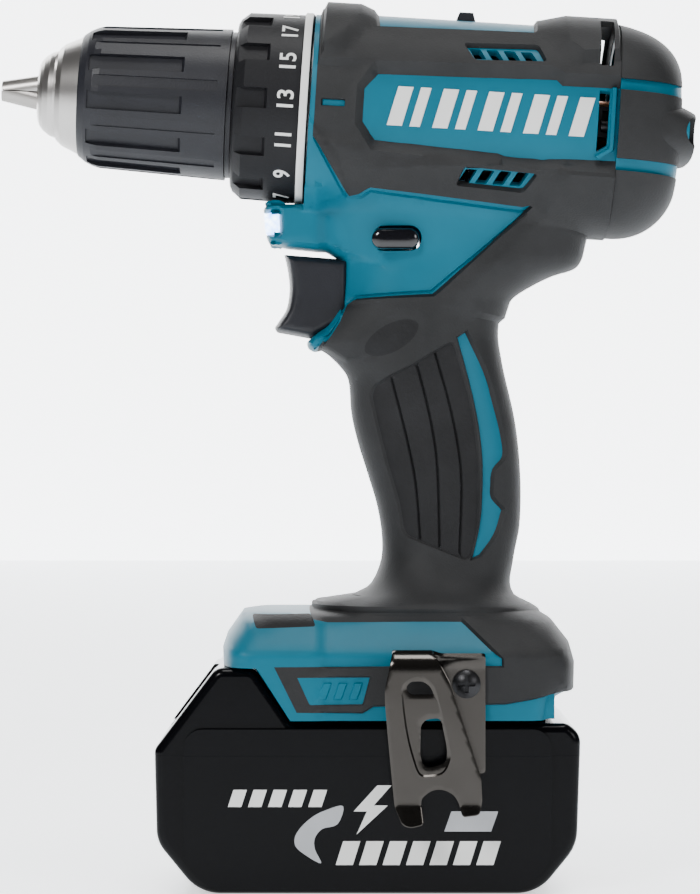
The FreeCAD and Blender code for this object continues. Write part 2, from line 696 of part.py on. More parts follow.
def housing_screws():
    """Shell screws driven from the right, and the two that hold the rear cover."""
    parts = []
    for x, z in screw_places():
        reach = outer_half_at(x, z)
        head = Part.makeCylinder(3.0, 2.4, V(x, reach - 2.4, z), V(0, 1, 0))
        cross = box((x - 2.0, reach - 1.2, z - 0.45), (x + 2.0, reach + 1, z + 0.45))
        bar = box((x - 0.45, reach - 1.2, z - 2.0), (x + 0.45, reach + 1, z + 2.0))
        shank = Part.makeCylinder(1.5, reach + 5.0, V(x, -6.0, z), V(0, 1, 0))
        parts.append(fuse([head, shank]).cut([cross, bar]))
    for side in (-1, 1):
        head = cylinder(85.6, 87.8, 3.0)
        shank = cylinder(64.0, 86.0, 1.5)
        screw = fuse([head, shank]).cut([box((86.8, -2.0, -0.45), (89, 2.0, 0.45)),
                                         box((86.8, -0.45, -2.0), (89, 0.45, 2.0))])
        screw.translate(V(0, side * COVER_SCREW_Y, COVER_SCREW_Z))
        parts.append(on_barrel(screw))
    return group(parts)


def outer_half_at(x, z):
    """Depth of the screw heads' outer faces on the right-hand shell."""
    if z < 80:
        return 34.4
    if z > 180:
        return 9.6
    return 11.0 if x > 40 else 14.0


def screw_bosses():
    """Posts and holes in the shells for each shell screw."""
    posts, shanks, heads = [], [], []
    for x, z in screw_places():
        reach = outer_half_at(x, z)
        posts.append(Part.makeCylinder(3.4, 2 * reach - 1.0, V(x, 0.5 - reach, z), V(0, 1, 0)))
        shanks.append(Part.makeCylinder(1.5 + 0.02, reach + 5.1, V(x, -6.1, z), V(0, 1, 0)))
        heads.append(Part.makeCylinder(3.1, 40, V(x, reach - 2.4, z), V(0, 1, 0)))
    return posts, [group(shanks), group(heads)]


def screw_holes(radius):
    """Holes along the barrel for the two rear cover screws."""
    holes = []
    for side in (-1, 1):
        hole = cylinder(60.0, 90.0, radius)
        hole.translate(V(0, side * COVER_SCREW_Y, COVER_SCREW_Z))
        holes.append(on_barrel(hole))
    return holes


def shells():
    posts, holes = screw_bosses()
    envelope = hard_envelope()
    core = carve(envelope, inner_cavity())
    core = join([core, group(rails()), group(post.common(envelope) for post in posts)])
    vents = [on_barrel(s) for s in vent_slots(14.2, 18.2, -2.6) + vent_slots(-20.6, -16.2, 2.6)]
    slots = [on_barrel(box((62.6, -45, 14.6), (66.4, 45, 24.5))),
             on_barrel(box((63.0, -45, 2.6), (66.0, 45, 8.0))),
             on_barrel(box((63.0, -45, -10.0), (66.0, 45, -5.8)))]
    pill = rounded_prism([(0.6, 174.4), (14.8, 174.4), (14.8, 181.2), (0.6, 181.2)], 3.39, -40, 40)
    cuts = [group(vents + slots), pill, lever_slot(), clip_recess(), group(screw_holes(1.52))]
    cuts += holes
    return [largest(half) for half in halves(carve(core, cuts))]


def largest(shape):
    return max(shape.Solids, key=lambda s: s.Volume)


def grip_skin():
    """Soft layer over the neck, grip and barrel, before it is cut to its outline."""
    thick = join([on_barrel(barrel_loft(BARREL, RUBBER)), grip_loft()])
    thin = [on_barrel(barrel_loft(BARREL, 0.03)), grip_loft(RUBBER - 0.03), snout()]
    return carve(thick, thin + [foot_block(0.02), trigger_guard()])


def foot_skin():
    """Soft bands round the foot: its sides, its rear and the slope down from the grip."""
    skin = carve(foot_block(FOOT_RUBBER), [foot_block(0.02), grip_loft()])
    band = prism(FOOT_RUBBER_SIDE, -45, 45).cut(prism(BADGE, -45, 45))
    return skin.common(band)


def overmoulds():
    """Left and right soft layers over the barrel, the grip and the foot."""
    band = on_barrel(prism(SIDE_BAND, -45, 45))
    region = fuse([band, prism(GRIP_RUBBER, -45, 45)])
    upper_vent = [(25.4, 13.8), (48.4, 13.8), (45.2, 19.0), (24.6, 19.0)]
    lower_vent = [(25.2, -21.2), (44.6, -21.2), (48.2, -15.8), (26.8, -15.8)]
    windows = [on_barrel(prism(outline, -45, 45))
               for outline in (LABEL_PANEL, TOP_STRIP, upper_vent, lower_vent)]
    windows.append(on_barrel(box((62.4, -45, 14.4), (66.6, 45, 25.0))))
    windows.append(prism(GRIP_WINDOW, -45, 45))
    behind = on_barrel(box((COVER_SEAM, -60, -32), (120, 60, 60)))
    region = carve(region, [group(windows), behind])
    soft = join([grip_skin().common(region), foot_skin()])
    return halves(carve(soft, screw_bosses()[1] + [clip_recess()]).cut(throat()))


def rear_cover():
    """Screwed-on cover over the brush gear, with a shallow dish inside."""
    outer = barrel_loft(COVER)
    inner = cylinder(COVER_SEAM - 1, 80.5, 24.0)
    cover = outer.cut(inner)
    for side in (-1, 1):
        post = cylinder(68.4, 88.0, 3.6)
        post.translate(V(0, side * COVER_SCREW_Y, COVER_SCREW_Z))
        hole = cylinder(60.0, 90.0, 1.55)
        seat = cylinder(85.5, 95.0, 3.1)
        for cut in (hole, seat):
            cut.translate(V(0, side * COVER_SCREW_Y, COVER_SCREW_Z))
        cover = cover.fuse(post).cut([hole, seat])
    return on_barrel(largest(cover))


def cover_overmould():
    """Three soft lobes on the rear cover, with the screw heads seen through the middle one."""
    grown = barrel_loft([(p, w, t, b, s) for p, w, t, b, s in COVER], RUBBER)
    knob = barrel_loft([(74.0, 28.6, 8.0, -9.6, 3.0), (86.0, 27.0, 6.4, -9.6, 3.0),
                        (REAR_END, 23.5, 4.8, -8.8, 3.0)])
    soft = fuse([grown, knob]).cut(barrel_loft(COVER, 0.05))
    cuts = [prism(band, -45, 45) for band in COVER_BANDS]
    cuts.append(cylinder(60.0, 84.0, 22.0))
    for side in (-1, 1):
        seat = cylinder(60.0, 95.0, 3.7)
        seat.translate(V(0, side * COVER_SCREW_Y, COVER_SCREW_Z))
        cuts.append(seat)
    return on_barrel(soft.cut(cuts))


# ---------------------------------------------------------------- controls
def trigger():
    """Pull trigger with a hollowed finger face and a stem into the switch."""
    outline = [(-23.0, 173.4), (-21.4, 170.0), (-20.4, 165.0), (-20.9, 160.0), (-22.8, 156.4),
               (-25.4, 154.0), (-25.0, 152.4), (-14.6, 150.5), (-4.6, 156.0), (-4.6, 172.2),
               (-8.0, 172.6)]
    blade = prism(outline, -8.0, 8.0)
    rim = [e for e in blade.Edges if abs(e.BoundBox.YLength) < 0.01 and e.BoundBox.XMax < -19.9]
    blade = blade.makeFillet(1.6, rim)
    stem = box((-6.0, -3.0, 162.0), (1.0, 3.0, 167.0))
    return fuse([blade, stem])


def reversing_lever():
    """Push-through lever: an oval button on each side, joined by a bar over the switch."""
    outline = [(1.2, 175.0), (14.2, 175.0), (14.2, 180.6), (1.2, 180.6)]
    pill = rounded_prism(outline, 2.79, -20.6, 20.6)
    return pill


def speed_lever():
    """Low sliding plate in the top strip with a raised thumb block."""
    plate = box((17.4, -6.8, 23.5), (39.0, 6.8, 24.7))
    block = prism([(22.8, 24.6), (23.2, 27.2), (24.0, 29.4), (27.8, 29.4), (28.5, 27.2),
                   (28.9, 24.6)], -5.4, 5.4)
    link = box((24.8, -1.3, 22.75), (26.4, 1.3, 23.6))
    return on_barrel(fuse([plate, block, link]))


def switch_body():
    """Trigger switch, with a lug that the trigger's stem runs into."""
    body = box((8.6, -9.0, 152.0), (29.0, 9.0, 171.0))
    body = body.cut(box((2.0, -3.4, 161.6), (18.0, 3.4, 167.4)))
    fork = box((10.0, -4.0, 171.0), (14.0, 4.0, 173.6))
    return fuse([body, fork])


def led_lens():
    """Clear lens of the work light, at the front of the snout under the torque ring."""
    lens = rounded_prism([(-28.2, 179.2), (-22.0, 179.2), (-22.0, 187.2), (-28.8, 187.2)],
                         [1.6, 0, 0, 1.6], -5.7, 5.7)
    return lens


# ---------------------------------------------------------------- foot, clip and wiring
CLIP_SCREW = (26.5, 57.0)


def clip_recess():
    """Shallow seat for the belt clip, its top lip and its nut, on the left of the foot."""
    x, z = CLIP_SCREW
    lip = box((6.5, CLIP_SEAT - 2, 63.6), (32.5, -FOOT_HALF + 1.4, 65.4))
    hole = Part.makeCylinder(2.03, 12.0, V(x, CLIP_SEAT - 1, z), V(0, 1, 0))
    return fuse([lip, hole])


def leg(x_low, x_high, bottom):
    """One U-shaped leg of the belt clip, from the back plate round to the front tongue."""
    outer = CLIP_GAP / 2 + CLIP_THICK
    middle = (CLIP_BACK + CLIP_FRONT) / 2
    centre = bottom + outer
    bend = Part.makeCylinder(outer, x_high - x_low, V(x_low, middle, centre), V(1, 0, 0))
    bend = bend.cut(Part.makeCylinder(CLIP_GAP / 2, 60, V(x_low - 5, middle, centre), V(1, 0, 0)))
    bend = bend.common(box((x_low, -80, bottom - 1), (x_high, 0, centre)))
    back = box((x_low, CLIP_BACK, centre - 0.01), (x_high, CLIP_SEAT, 50.0))
    front = box((x_low, CLIP_FRONT - CLIP_THICK, centre - 0.01), (x_high, CLIP_FRONT, 34.0))
    return fuse([bend, back, front])


def belt_clip():
    """Sheet-steel belt hook: back plate, two U-shaped legs and a slotted tongue."""
    x, z = CLIP_SCREW
    plate = box((7.0, CLIP_BACK, 48.0), (32.0, CLIP_SEAT, 65.1))
    lip = box((7.0, CLIP_SEAT - 0.01, 63.9), (32.0, -FOOT_HALF + 1.1, 65.1))
    tongue = rounded_prism([(6.6, 30.0), (30.6, 30.0), (24.6, 48.0), (18.4, 65.4), (10.0, 65.4),
                            (5.0, 56.0), (5.6, 40.0)], [0, 0, 30, 3.5, 4, 8, 8],
                           CLIP_FRONT - CLIP_THICK, CLIP_FRONT)
    slot = rounded_prism([(15.2, 33.6), (21.8, 35.4), (21.6, 46.0), (18.0, 48.2), (14.2, 46.0),
                          (14.0, 38.0)], [2, 2, 2, 2, 2, 2], -60, CLIP_FRONT + 1)
    window = rounded_prism([(11.0, 54.2), (18.4, 54.2), (16.4, 58.4), (11.6, 58.0)], 1.2,
                           -60, CLIP_FRONT + 1)
    hole = Part.makeCylinder(2.1, 20, V(x, -50, z), V(0, 1, 0))
    body = fuse([plate, lip, tongue, leg(7.4, 14.6, 18.6), leg(25.0, 31.6, 21.0)])
    return body.cut([slot, window]).cut(hole)


def belt_clip_screw():
    """Pan-head cross-recess screw that holds the belt clip."""
    x, z = CLIP_SCREW
    head = Part.makeSphere(5.2, V(x, CLIP_BACK + 2.4, z))
    head = head.common(box((x - 6, CLIP_BACK - 4, z - 6), (x + 6, CLIP_BACK, z + 6)))
    head = head.common(Part.makeCylinder(3.8, 10, V(x, CLIP_BACK - 6, z), V(0, 1, 0)))
    shank = Part.makeCylinder(2.0, 10.6, V(x, CLIP_BACK - 0.1, z), V(0, 1, 0))
    cross = [box((x - 2.3, -60, z - 0.5), (x + 2.3, CLIP_BACK - 1.0, z + 0.5)),
             box((x - 0.5, -60, z - 2.3), (x + 0.5, CLIP_BACK - 1.0, z + 2.3))]
    return fuse([head, shank]).cut(cross)


def terminal_block():
    """Carrier of the tool's blades, on the roof of the battery bay."""
    return box((18.0, -20.0, BAY_TOP + 0.3), (42.0, 20.0, 66.0))


def terminal_blades():
    return group(box((20.0, y - 0.4, 55.6), (32.0, y + 0.4, BAY_TOP + 0.3)) for y in BLADES)


def lead(points, radius):
    """Insulated lead: straight runs joined by tangent arcs."""
    vectors = [V(*p) for p in points]
    edges, start = [], vectors[0]
    for before, corner, after in zip(vectors, vectors[1:], vectors[2:]):
        back, ahead = before - corner, after - corner
        shorter = min(back.Length, ahead.Length)
        back.normalize()
        ahead.normalize()
        half = back.getAngle(ahead) / 2
        reach = 0.45 * shorter
        bend_r = reach * math.tan(half)
        middle = back + ahead
        middle.normalize()
        bow = corner + middle * (bend_r / math.sin(half) - bend_r)
        first, last = corner + back * reach, corner + ahead * reach
        edges.append(Part.LineSegment(start, first).toShape())
        edges.append(Part.Arc(first, bow, last).toShape())
        start = last
    edges.append(Part.LineSegment(start, vectors[-1]).toShape())
    path = Part.Wire(edges)
    direction = vectors[1] - vectors[0]
    profile = Part.Wire([Part.makeCircle(radius, vectors[0], direction)])
    return path.makePipeShell([profile], True, True)


def wiring_loom():
    """Battery leads up the grip to the switch, and the motor leads from the switch."""
    leads = []
    for y in (-5.0, 5.0):
        leads.append(lead([(28.0, y, 66.1), (28.0, y, 76.0), (24.0, y, 88.0), (25.0, y, 104.0),
                           (24.0, y, 120.0), (22.0, y, 134.0), (22.0, y, 151.9)], 1.1))
        leads.append(lead([(28.0, y, 171.4), (30.0, y, 176.0), (36.0, y, 180.0),
                           (42.0, y, 184.5)], 1.1))
    return group(leads)


# ---------------------------------------------------------------- battery
PACK_SIDE = [(-57.6, 39.0), (-57.0, 14.0), (-45.5, 0.0), (46.0, 0.0), (56.6, 13.0),
             (57.6, 43.0), (54.0, PACK_TOP), (-20.2, PACK_TOP), (-30.6, 61.0), (-41.0, 61.0)]
PACK_ROUND = [3, 9, 12, 12, 12, 5, 3, 1, 4, 4]
PACK_SEAM = 37.4
BLADES = (-13.0, 0.0, 13.0)      # places of the tool's blades across the rail tower
PANEL = [(-49.5, 44.6), (-49.5, 9.0), (-42.0, 1.4), (42.0, 1.4), (49.5, 9.0), (49.5, 44.6)]
PANEL_ROUND = [5, 9, 7, 7, 9, 5]


def pack_shell():
    """Outer form of the battery: case, raised side panels and the rail tower."""
    case = rounded_prism(PACK_SIDE, PACK_ROUND, -PACK_HALF, PACK_HALF)
    plan = [e for e in case.Edges if e.BoundBox.YLength < 0.01
            and abs(abs(e.BoundBox.YMin) - PACK_HALF) < 0.01]
    case = case.makeFillet(2.4, [e for e in plan if e.BoundBox.ZMin > 0.5])
    panels = rounded_prism(PANEL, PANEL_ROUND, -PACK_PANEL_HALF, PACK_PANEL_HALF)
    tower = box((-20.0, -TOWER_HALF, PACK_TOP - 1), (48.4, TOWER_HALF, TOWER_TOP))
    groove_low, groove_high = RAIL_LOW - 0.4, RAIL_HIGH + 0.4
    grooves = []
    for side in (-1, 1):
        low, high = sorted((side * (BAY_HALF - RAIL - 0.4), side * 40))
        grooves.append(box((-19.0, low, groove_low), (60.0, high, groove_high)))
    slots = [box((10.0, y - 1.1, 54.6), (60.0, y + 1.1, 70.0)) for y in BLADES]
    return fuse([case, panels, tower.cut(grooves + slots)])


def pack_parts():
    """Lower case, upper cover and the block of cells inside them."""
    shell = pack_shell()
    hollow = box((-50.0, -32.6, 3.0), (50.0, 32.6, 41.2))
    tower_room = box((-17.0, -22.4, 41.0), (45.5, 22.4, 54.8))
    latch_room = box((-61.0, -11.4, 41.8), (-31.8, 11.4, 63.0))
    shell = shell.cut([hollow, tower_room, latch_room])
    lower = shell.common(box((-80, -60, -5), (80, 60, PACK_SEAM - 0.02)))
    upper = shell.common(box((-80, -60, PACK_SEAM + 0.02), (80, 60, 80)))
    cells = []
    for row in range(5):
        for layer in range(2):
            centre = V(-38.4 + 19.2 * row, -32.3, 12.6 + 19.0 * layer)
            can = Part.makeCylinder(9.2, 64.6, centre, V(0, 1, 0))
            cells.append(can)
    return largest(lower), largest(upper), group(cells)


def battery_board():
    """Circuit board under the rail tower, with a pair of spring leaves for each blade."""
    board = box((-15.0, -21.8, 46.0), (38.0, 21.8, 47.6))
    parts = [board]
    for y in BLADES:
        leaves = box((21.0, y - 0.85, 47.0), (29.0, y + 0.85, 57.4))
        slit = box((20.0, y - 0.5, 48.4), (30.0, y + 0.5, 58.0))
        parts.append(leaves.cut(slit))
    return fuse(parts)


def battery_latch():
    """Spring-loaded release button on the battery's front slope, with its hook."""
    face = [(-53.6, 45.4), (-32.6, 45.4), (-32.6, 60.6), (-42.2, 60.6)]
    button = prism(face, -11.0, 11.0)
    hook = prism([(-37.6, 60.5), (-33.4, 60.5), (-33.4, 63.6), (-36.0, 63.6)], -5.0, 5.0)
    grips = []
    for i in range(5):
        x, z = -52.4 + 1.8 * i, 47.0 + 2.4 * i
        grips.append(prism([(x + 0.6, z), (x - 2.0, z), (x - 2.0, z + 1.2), (x + 0.6, z + 1.2)],
                           -8.0, 8.0))
    return fuse([button, hook]).cut(grips)


# ---------------------------------------------------------------- build
def build():
    parts = {}
    parts["left_housing"], parts["right_housing"] = shells()
    parts["left_overmould"], parts["right_overmould"] = overmoulds()
    parts["rear_cover"] = rear_cover()
    parts["rear_cover_overmould"] = cover_overmould()
    barrel_parts = {
        "gear_case": gear_case(),
        "held_ring_gears": group([ring_gear(FIRST, *FIRST_RING, GEAR_BORE_R - 0.02),
                                  ring_gear(THIRD, *CLUTCH_RING, GEAR_BORE_R - 0.02)]),
        "shift_ring_gear": shift_ring_gear(),
        "first_carrier": first_carrier(),
        "second_carrier": second_carrier(),
        "output_spindle": output_spindle(),
        "spindle_bearing": bearing(*BEARING, SPINDLE_R + FIT, 12.98),
        "clutch_spring": clutch_spring(),
        "clutch_nut": clutch_nut(),
        "torque_ring": torque_ring(),
        "chuck_body": chuck_body(),
        "chuck_screw": chuck_screw(),
        "chuck_nut": chuck_nut(),
        "chuck_nose": chuck_nose(),
        "chuck_sleeve": chuck_sleeve(),
        "chuck_collar": chuck_collar(),
        "motor_shaft": motor_shaft(),
        "rotor_core": rotor_core(),
        "rotor_windings": rotor_windings(),
        "commutator": commutator(),
        "cooling_fan": cooling_fan(),
        "motor_magnets": motor_magnets(),
        "motor_yoke": motor_yoke(),
        "brush_holder": brush_holder(),
        "carbon_brushes": carbon_brushes(),
        "motor_bearings": motor_bearings(),
    }
    stages = {"first": (FIRST, FIRST_FACE, PIN_R), "second": (SECOND, SECOND_FACE, PIN_R),
              "third": (THIRD, THIRD_FACE, PIN_R + 0.3)}
    for label, (stage, face, pin_r) in stages.items():
        for i, gear in enumerate(planets(stage, *face, pin_r)):
            barrel_parts[f"{label}_planet_{i + 1}"] = gear
    for i, jaw in enumerate(jaws()):
        barrel_parts[f"chuck_jaw_{i + 1}"] = jaw
    for name, shape in barrel_parts.items():
        parts[name] = on_barrel(shape)
    parts["housing_screws"] = housing_screws()
    parts["trigger"] = trigger()
    parts["reversing_lever"] = reversing_lever()
    parts["speed_lever"] = speed_lever()
    parts["switch_body"] = switch_body()
    parts["led_lens"] = led_lens()
    parts["belt_clip"] = belt_clip()
    parts["belt_clip_screw"] = belt_clip_screw()
    parts["terminal_block"] = terminal_block()
    parts["terminal_blades"] = terminal_blades()
    parts["wiring_loom"] = wiring_loom()
    case, cover, cells = pack_parts()
    parts["battery_case"] = case
    parts["battery_cover"] = cover
    parts["battery_cells"] = cells
    parts["battery_board"] = battery_board()
    parts["battery_latch"] = battery_latch()
    return parts


os.makedirs("parts", exist_ok=True)
if __name__ == "__main__":
    for name, shape in build().items():
        count = len(shape.Solids)
        print(f"{name:24s} solids {count:2d} valid {shape.isValid()} volume {shape.Volume:10.1f}")
        shape.exportStep(f"parts/{name}.step")
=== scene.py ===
"""Looks of a cordless drill driver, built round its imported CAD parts.

Shapes are worked out in millimetres and turned into metres when a mesh is made. Side-view
outlines are (x, z) points of the row frame. Outlines of the barrel are written as (a, h):
a runs back along the barrel's tilted axis and h is square to it, and `barrel` turns them
into (x, z).
"""

import json
import math

import bpy
import numpy as np
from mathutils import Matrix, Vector
from mathutils.geometry import delaunay_2d_cdt

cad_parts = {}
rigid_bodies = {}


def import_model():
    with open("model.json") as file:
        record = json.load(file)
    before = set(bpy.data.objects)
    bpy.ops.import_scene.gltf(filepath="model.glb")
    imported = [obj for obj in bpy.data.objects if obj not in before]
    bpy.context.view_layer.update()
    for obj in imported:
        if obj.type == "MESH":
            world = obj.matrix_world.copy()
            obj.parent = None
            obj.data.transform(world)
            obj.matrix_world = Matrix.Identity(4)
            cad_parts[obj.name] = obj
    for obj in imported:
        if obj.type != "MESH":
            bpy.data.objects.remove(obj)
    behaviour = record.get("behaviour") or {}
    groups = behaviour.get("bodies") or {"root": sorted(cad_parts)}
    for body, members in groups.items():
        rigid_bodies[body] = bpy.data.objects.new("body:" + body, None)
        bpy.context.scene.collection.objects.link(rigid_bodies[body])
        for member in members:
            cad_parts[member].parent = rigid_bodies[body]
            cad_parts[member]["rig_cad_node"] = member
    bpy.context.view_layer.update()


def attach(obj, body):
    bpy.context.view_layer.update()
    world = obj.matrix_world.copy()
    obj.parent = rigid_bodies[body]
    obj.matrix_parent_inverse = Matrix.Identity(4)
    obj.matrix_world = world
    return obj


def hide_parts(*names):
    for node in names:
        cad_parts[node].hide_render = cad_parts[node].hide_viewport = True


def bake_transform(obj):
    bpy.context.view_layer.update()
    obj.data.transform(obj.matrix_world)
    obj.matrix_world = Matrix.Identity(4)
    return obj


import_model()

MM = 0.001
TILT = math.radians(3.6)
AXIS_HEIGHT = 213.9
COS, SIN = math.cos(TILT), math.sin(TILT)
SEAM = 68.3                     # rear cover's seam, along the barrel
BARREL_FRONT = -15.8            # front face of the housing, along the barrel
HARD_WALL, SOFT_WALL = 2.4, 1.6
SHARP_ANGLE = math.radians(32)  # a steeper edge is drawn sharp
CLEAR = 0.35                    # free points keep this share of their spacing from lines


# ---------------------------------------------------------------- camera and light
def make_camera():
    data = bpy.data.cameras.new("camera")
    data.sensor_width = 36.0
    data.lens = 133.7
    camera = bpy.data.objects.new("camera", data)
    camera.location = (-0.00476, -0.930, 0.1206)
    camera.rotation_euler = (math.radians(90), 0, 0)
    bpy.context.collection.objects.link(camera)
    bpy.context.scene.camera = camera


def make_light(name, place, target, size, power):
    data = bpy.data.lights.new(name, "AREA")
    data.shape = "DISK"
    data.size = size
    data.energy = power
    light = bpy.data.objects.new(name, data)
    light.location = place
    direction = Vector(target) - Vector(place)
    light.rotation_euler = direction.to_track_quat("-Z", "Y").to_euler()
    bpy.context.collection.objects.link(light)


def make_studio():
    world = bpy.data.worlds.new("studio")
    world.use_nodes = True
    background = world.node_tree.nodes["Background"]
    background.inputs["Color"].default_value = (1.0, 1.0, 1.0, 1.0)
    background.inputs["Strength"].default_value = 0.07
    bpy.context.scene.world = world
    make_light("key", (-0.5, -0.8, 0.75), (0, 0, 0.13), 0.3, 7.0)
    make_light("fill", (0.8, -0.7, 0.45), (0, 0, 0.13), 0.4, 2.5)
    make_light("top", (0.05, -0.15, 1.0), (0, 0, 0.15), 0.4, 4.5)


def paper(name, corners, strength, roughness, specular):
    """Sheet of white paper, lit a little from within so that it stays white."""
    mesh = bpy.data.meshes.new(name)
    mesh.from_pydata(corners, [], [(0, 1, 2, 3)])
    sheet = bpy.data.objects.new(name, mesh)
    bpy.context.collection.objects.link(sheet)
    mesh.materials.append(glowing(name + "_paper", (1.0, 1.0, 1.0), strength,
                                  (1.0, 1.0, 1.0, 1), roughness, specular))
    return sheet


def make_backdrop():
    corners = [(-3, 2.6, -0.5), (3, 2.6, -0.5), (3, 2.6, 3.2), (-3, 2.6, 3.2)]
    backdrop = paper("backdrop", corners, 4.6, roughness=0.9, specular=0.0)


def make_floor():
    size = 12.0
    corners = [(-size, -size, 0), (size, -size, 0), (size, size, 0), (-size, size, 0)]
    floor = paper("floor", corners, 0.95, roughness=0.35, specular=0.5)


# ---------------------------------------------------------------- materials
def blank_material(name, roughness, specular):
    """New material with its node tree's parts: (material, nodes, links, shader)."""
    material = bpy.data.materials.new(name)
    material.use_nodes = True
    nodes, links = material.node_tree.nodes, material.node_tree.links
    shader = nodes["Principled BSDF"]
    shader.inputs["Roughness"].default_value = roughness
    shader.inputs["Specular IOR Level"].default_value = specular
    return material, nodes, links, shader


def noise(nodes, links, vector, scale, detail):
    texture = nodes.new("ShaderNodeTexNoise")
    texture.inputs["Scale"].default_value = scale
    texture.inputs["Detail"].default_value = detail
    links.new(vector, texture.inputs["Vector"])
    return texture.outputs["Fac"]


def colored(nodes, links, factor, low, high, socket):
    """Feeds a colour socket from one colour to the other as the factor rises."""
    ramp = nodes.new("ShaderNodeValToRGB")
    for element, (position, color) in zip(ramp.color_ramp.elements, (low, high)):
        element.position = position
        element.color = color
    links.new(factor, ramp.inputs["Fac"])
    links.new(ramp.outputs["Color"], socket)


def roughened(nodes, links, height, strength, distance, shader):
    bump = nodes.new("ShaderNodeBump")
    bump.inputs["Strength"].default_value = strength
    bump.inputs["Distance"].default_value = distance
    links.new(height, bump.inputs["Height"])
    links.new(bump.outputs["Normal"], shader.inputs["Normal"])


def moulded(name, color, roughness, grain=0.12, grain_mm=0.35, mottle=0.08, coat=0.0,
            metallic=0.0, specular=0.5):
    """Moulded plastic, rubber or paint: a faint mottle and a fine grain in the surface."""
    material, nodes, links, shader = blank_material(name, roughness, specular)
    shader.inputs["Metallic"].default_value = metallic
    shader.inputs["Coat Weight"].default_value = coat
    shader.inputs["Coat Roughness"].default_value = 0.08
    place = nodes.new("ShaderNodeTexCoord").outputs["Object"]
    dark = [c * (1 - mottle) for c in color] + [1]
    pale = [min(1.0, c * (1 + mottle)) for c in color] + [1]
    colored(nodes, links, noise(nodes, links, place, 90.0, 4.0), (0.3, dark), (0.7, pale),
            shader.inputs["Base Color"])
    if grain > 0:
        speck = noise(nodes, links, place, 1000.0 / grain_mm / 2, 2.0)
        roughened(nodes, links, speck, grain, 0.0002, shader)
    return material


def turned_metal(name, color, roughness, grain=0.1):
    """Machined steel, with fine turning marks across the barrel's length."""
    material = moulded(name, color, roughness, grain=0.0, mottle=0.05, metallic=1.0)
    nodes, links = material.node_tree.nodes, material.node_tree.links
    mapping = nodes.new("ShaderNodeMapping")
    mapping.inputs["Rotation"].default_value = (0, -TILT, 0)
    mapping.inputs["Scale"].default_value = (4000.0, 25.0, 25.0)
    place = nodes.new("ShaderNodeTexCoord").outputs["Object"]
    links.new(place, mapping.inputs["Vector"])
    marks = noise(nodes, links, mapping.outputs["Vector"], 1.0, 2.0)
    roughened(nodes, links, marks, grain, 0.0001, nodes["Principled BSDF"])
    return material


def glowing(name, color, strength, rim=(0.05, 0.25, 0.9, 1), roughness=0.08, specular=0.5):
    """Lit surface whose glow goes from `color` to `rim` across each facet."""
    material, nodes, links, shader = blank_material(name, roughness, specular)
    shader.inputs["Base Color"].default_value = (0.9, 0.95, 1.0, 1.0)
    shader.inputs["Emission Strength"].default_value = strength
    facets = nodes.new("ShaderNodeTexVoronoi")
    facets.inputs["Scale"].default_value = 700.0
    place = nodes.new("ShaderNodeTexCoord").outputs["Object"]
    links.new(place, facets.inputs["Vector"])
    colored(nodes, links, facets.outputs["Distance"], (0.0, list(color) + [1]), (1.0, rim),
            shader.inputs["Emission Color"])
    return material


MATERIALS = {}


def make_materials():
    made = {
        "teal": moulded("teal_plastic", (0.0012, 0.128, 0.196), 0.42, grain=0.05, mottle=0.04,
                        specular=0.2),
        "rubber": moulded("soft_rubber", (0.0165, 0.0168, 0.0176), 0.62, grain=0.35,
                          grain_mm=0.3, mottle=0.18, specular=0.3),
        "rubber_fine": moulded("grip_rubber", (0.012, 0.012, 0.013), 0.68, grain=0.7,
                               grain_mm=0.5, mottle=0.2, specular=0.25),
        "black": moulded("black_plastic", (0.012, 0.0125, 0.0165), 0.42, grain=0.2,
                         grain_mm=0.25, mottle=0.15, specular=0.35),
        "ring": moulded("ring_plastic", (0.009, 0.009, 0.0105), 0.48, grain=0.25, mottle=0.12,
                        specular=0.2),
        "gloss": moulded("gloss_black", (0.004, 0.004, 0.006), 0.14, grain=0.0, coat=0.5,
                         mottle=0.1),
        "case": moulded("battery_plastic", (0.0012, 0.0013, 0.002), 0.2, grain=0.05,
                        grain_mm=0.6, mottle=0.1, specular=0.13),
        "white": moulded("white_print", (0.82, 0.82, 0.80), 0.5, grain=0.05, mottle=0.03),
        "silver": moulded("silver_print", (0.45, 0.46, 0.48), 0.38, grain=0.0, mottle=0.05,
                          metallic=0.6),
        "steel": turned_metal("satin_steel", (0.60, 0.58, 0.56), 0.30, grain=0.25),
        "jaw": turned_metal("ground_steel", (0.42, 0.40, 0.38), 0.34, grain=0.15),
        "gear": turned_metal("gear_steel", (0.42, 0.42, 0.44), 0.38),
        "alloy": moulded("die_cast", (0.55, 0.55, 0.56), 0.45, metallic=1.0),
        "clip": turned_metal("sheet_steel", (0.066, 0.061, 0.056), 0.2, grain=0.05),
        "copper": turned_metal("copper_wire", (0.75, 0.33, 0.16), 0.35),
        "ferrite": moulded("ferrite", (0.06, 0.06, 0.065), 0.6),
        "screw": moulded("black_oxide", (0.03, 0.03, 0.032), 0.35, metallic=0.8),
        "lens": glowing("work_light", (0.75, 0.9, 1.0), 9.0),
        "sheath": moulded("red_sheath", (0.4, 0.03, 0.02), 0.5),
        "wrap": moulded("cell_wrap", (0.05, 0.22, 0.5), 0.35),
        "board": moulded("green_board", (0.02, 0.16, 0.06), 0.4),
        "carbon": moulded("pressed_carbon", (0.03, 0.03, 0.03), 0.7),
    }
    MATERIALS.update(made)


# ---------------------------------------------------------------- plane outlines
def barrel(points):
    """Side-view (x, z) points of barrel points (a, h)."""
    points = np.asarray(points, float)
    a, h = points[:, 0], points[:, 1]
    return np.column_stack([a * COS + h * SIN, AXIS_HEIGHT - a * SIN + h * COS])


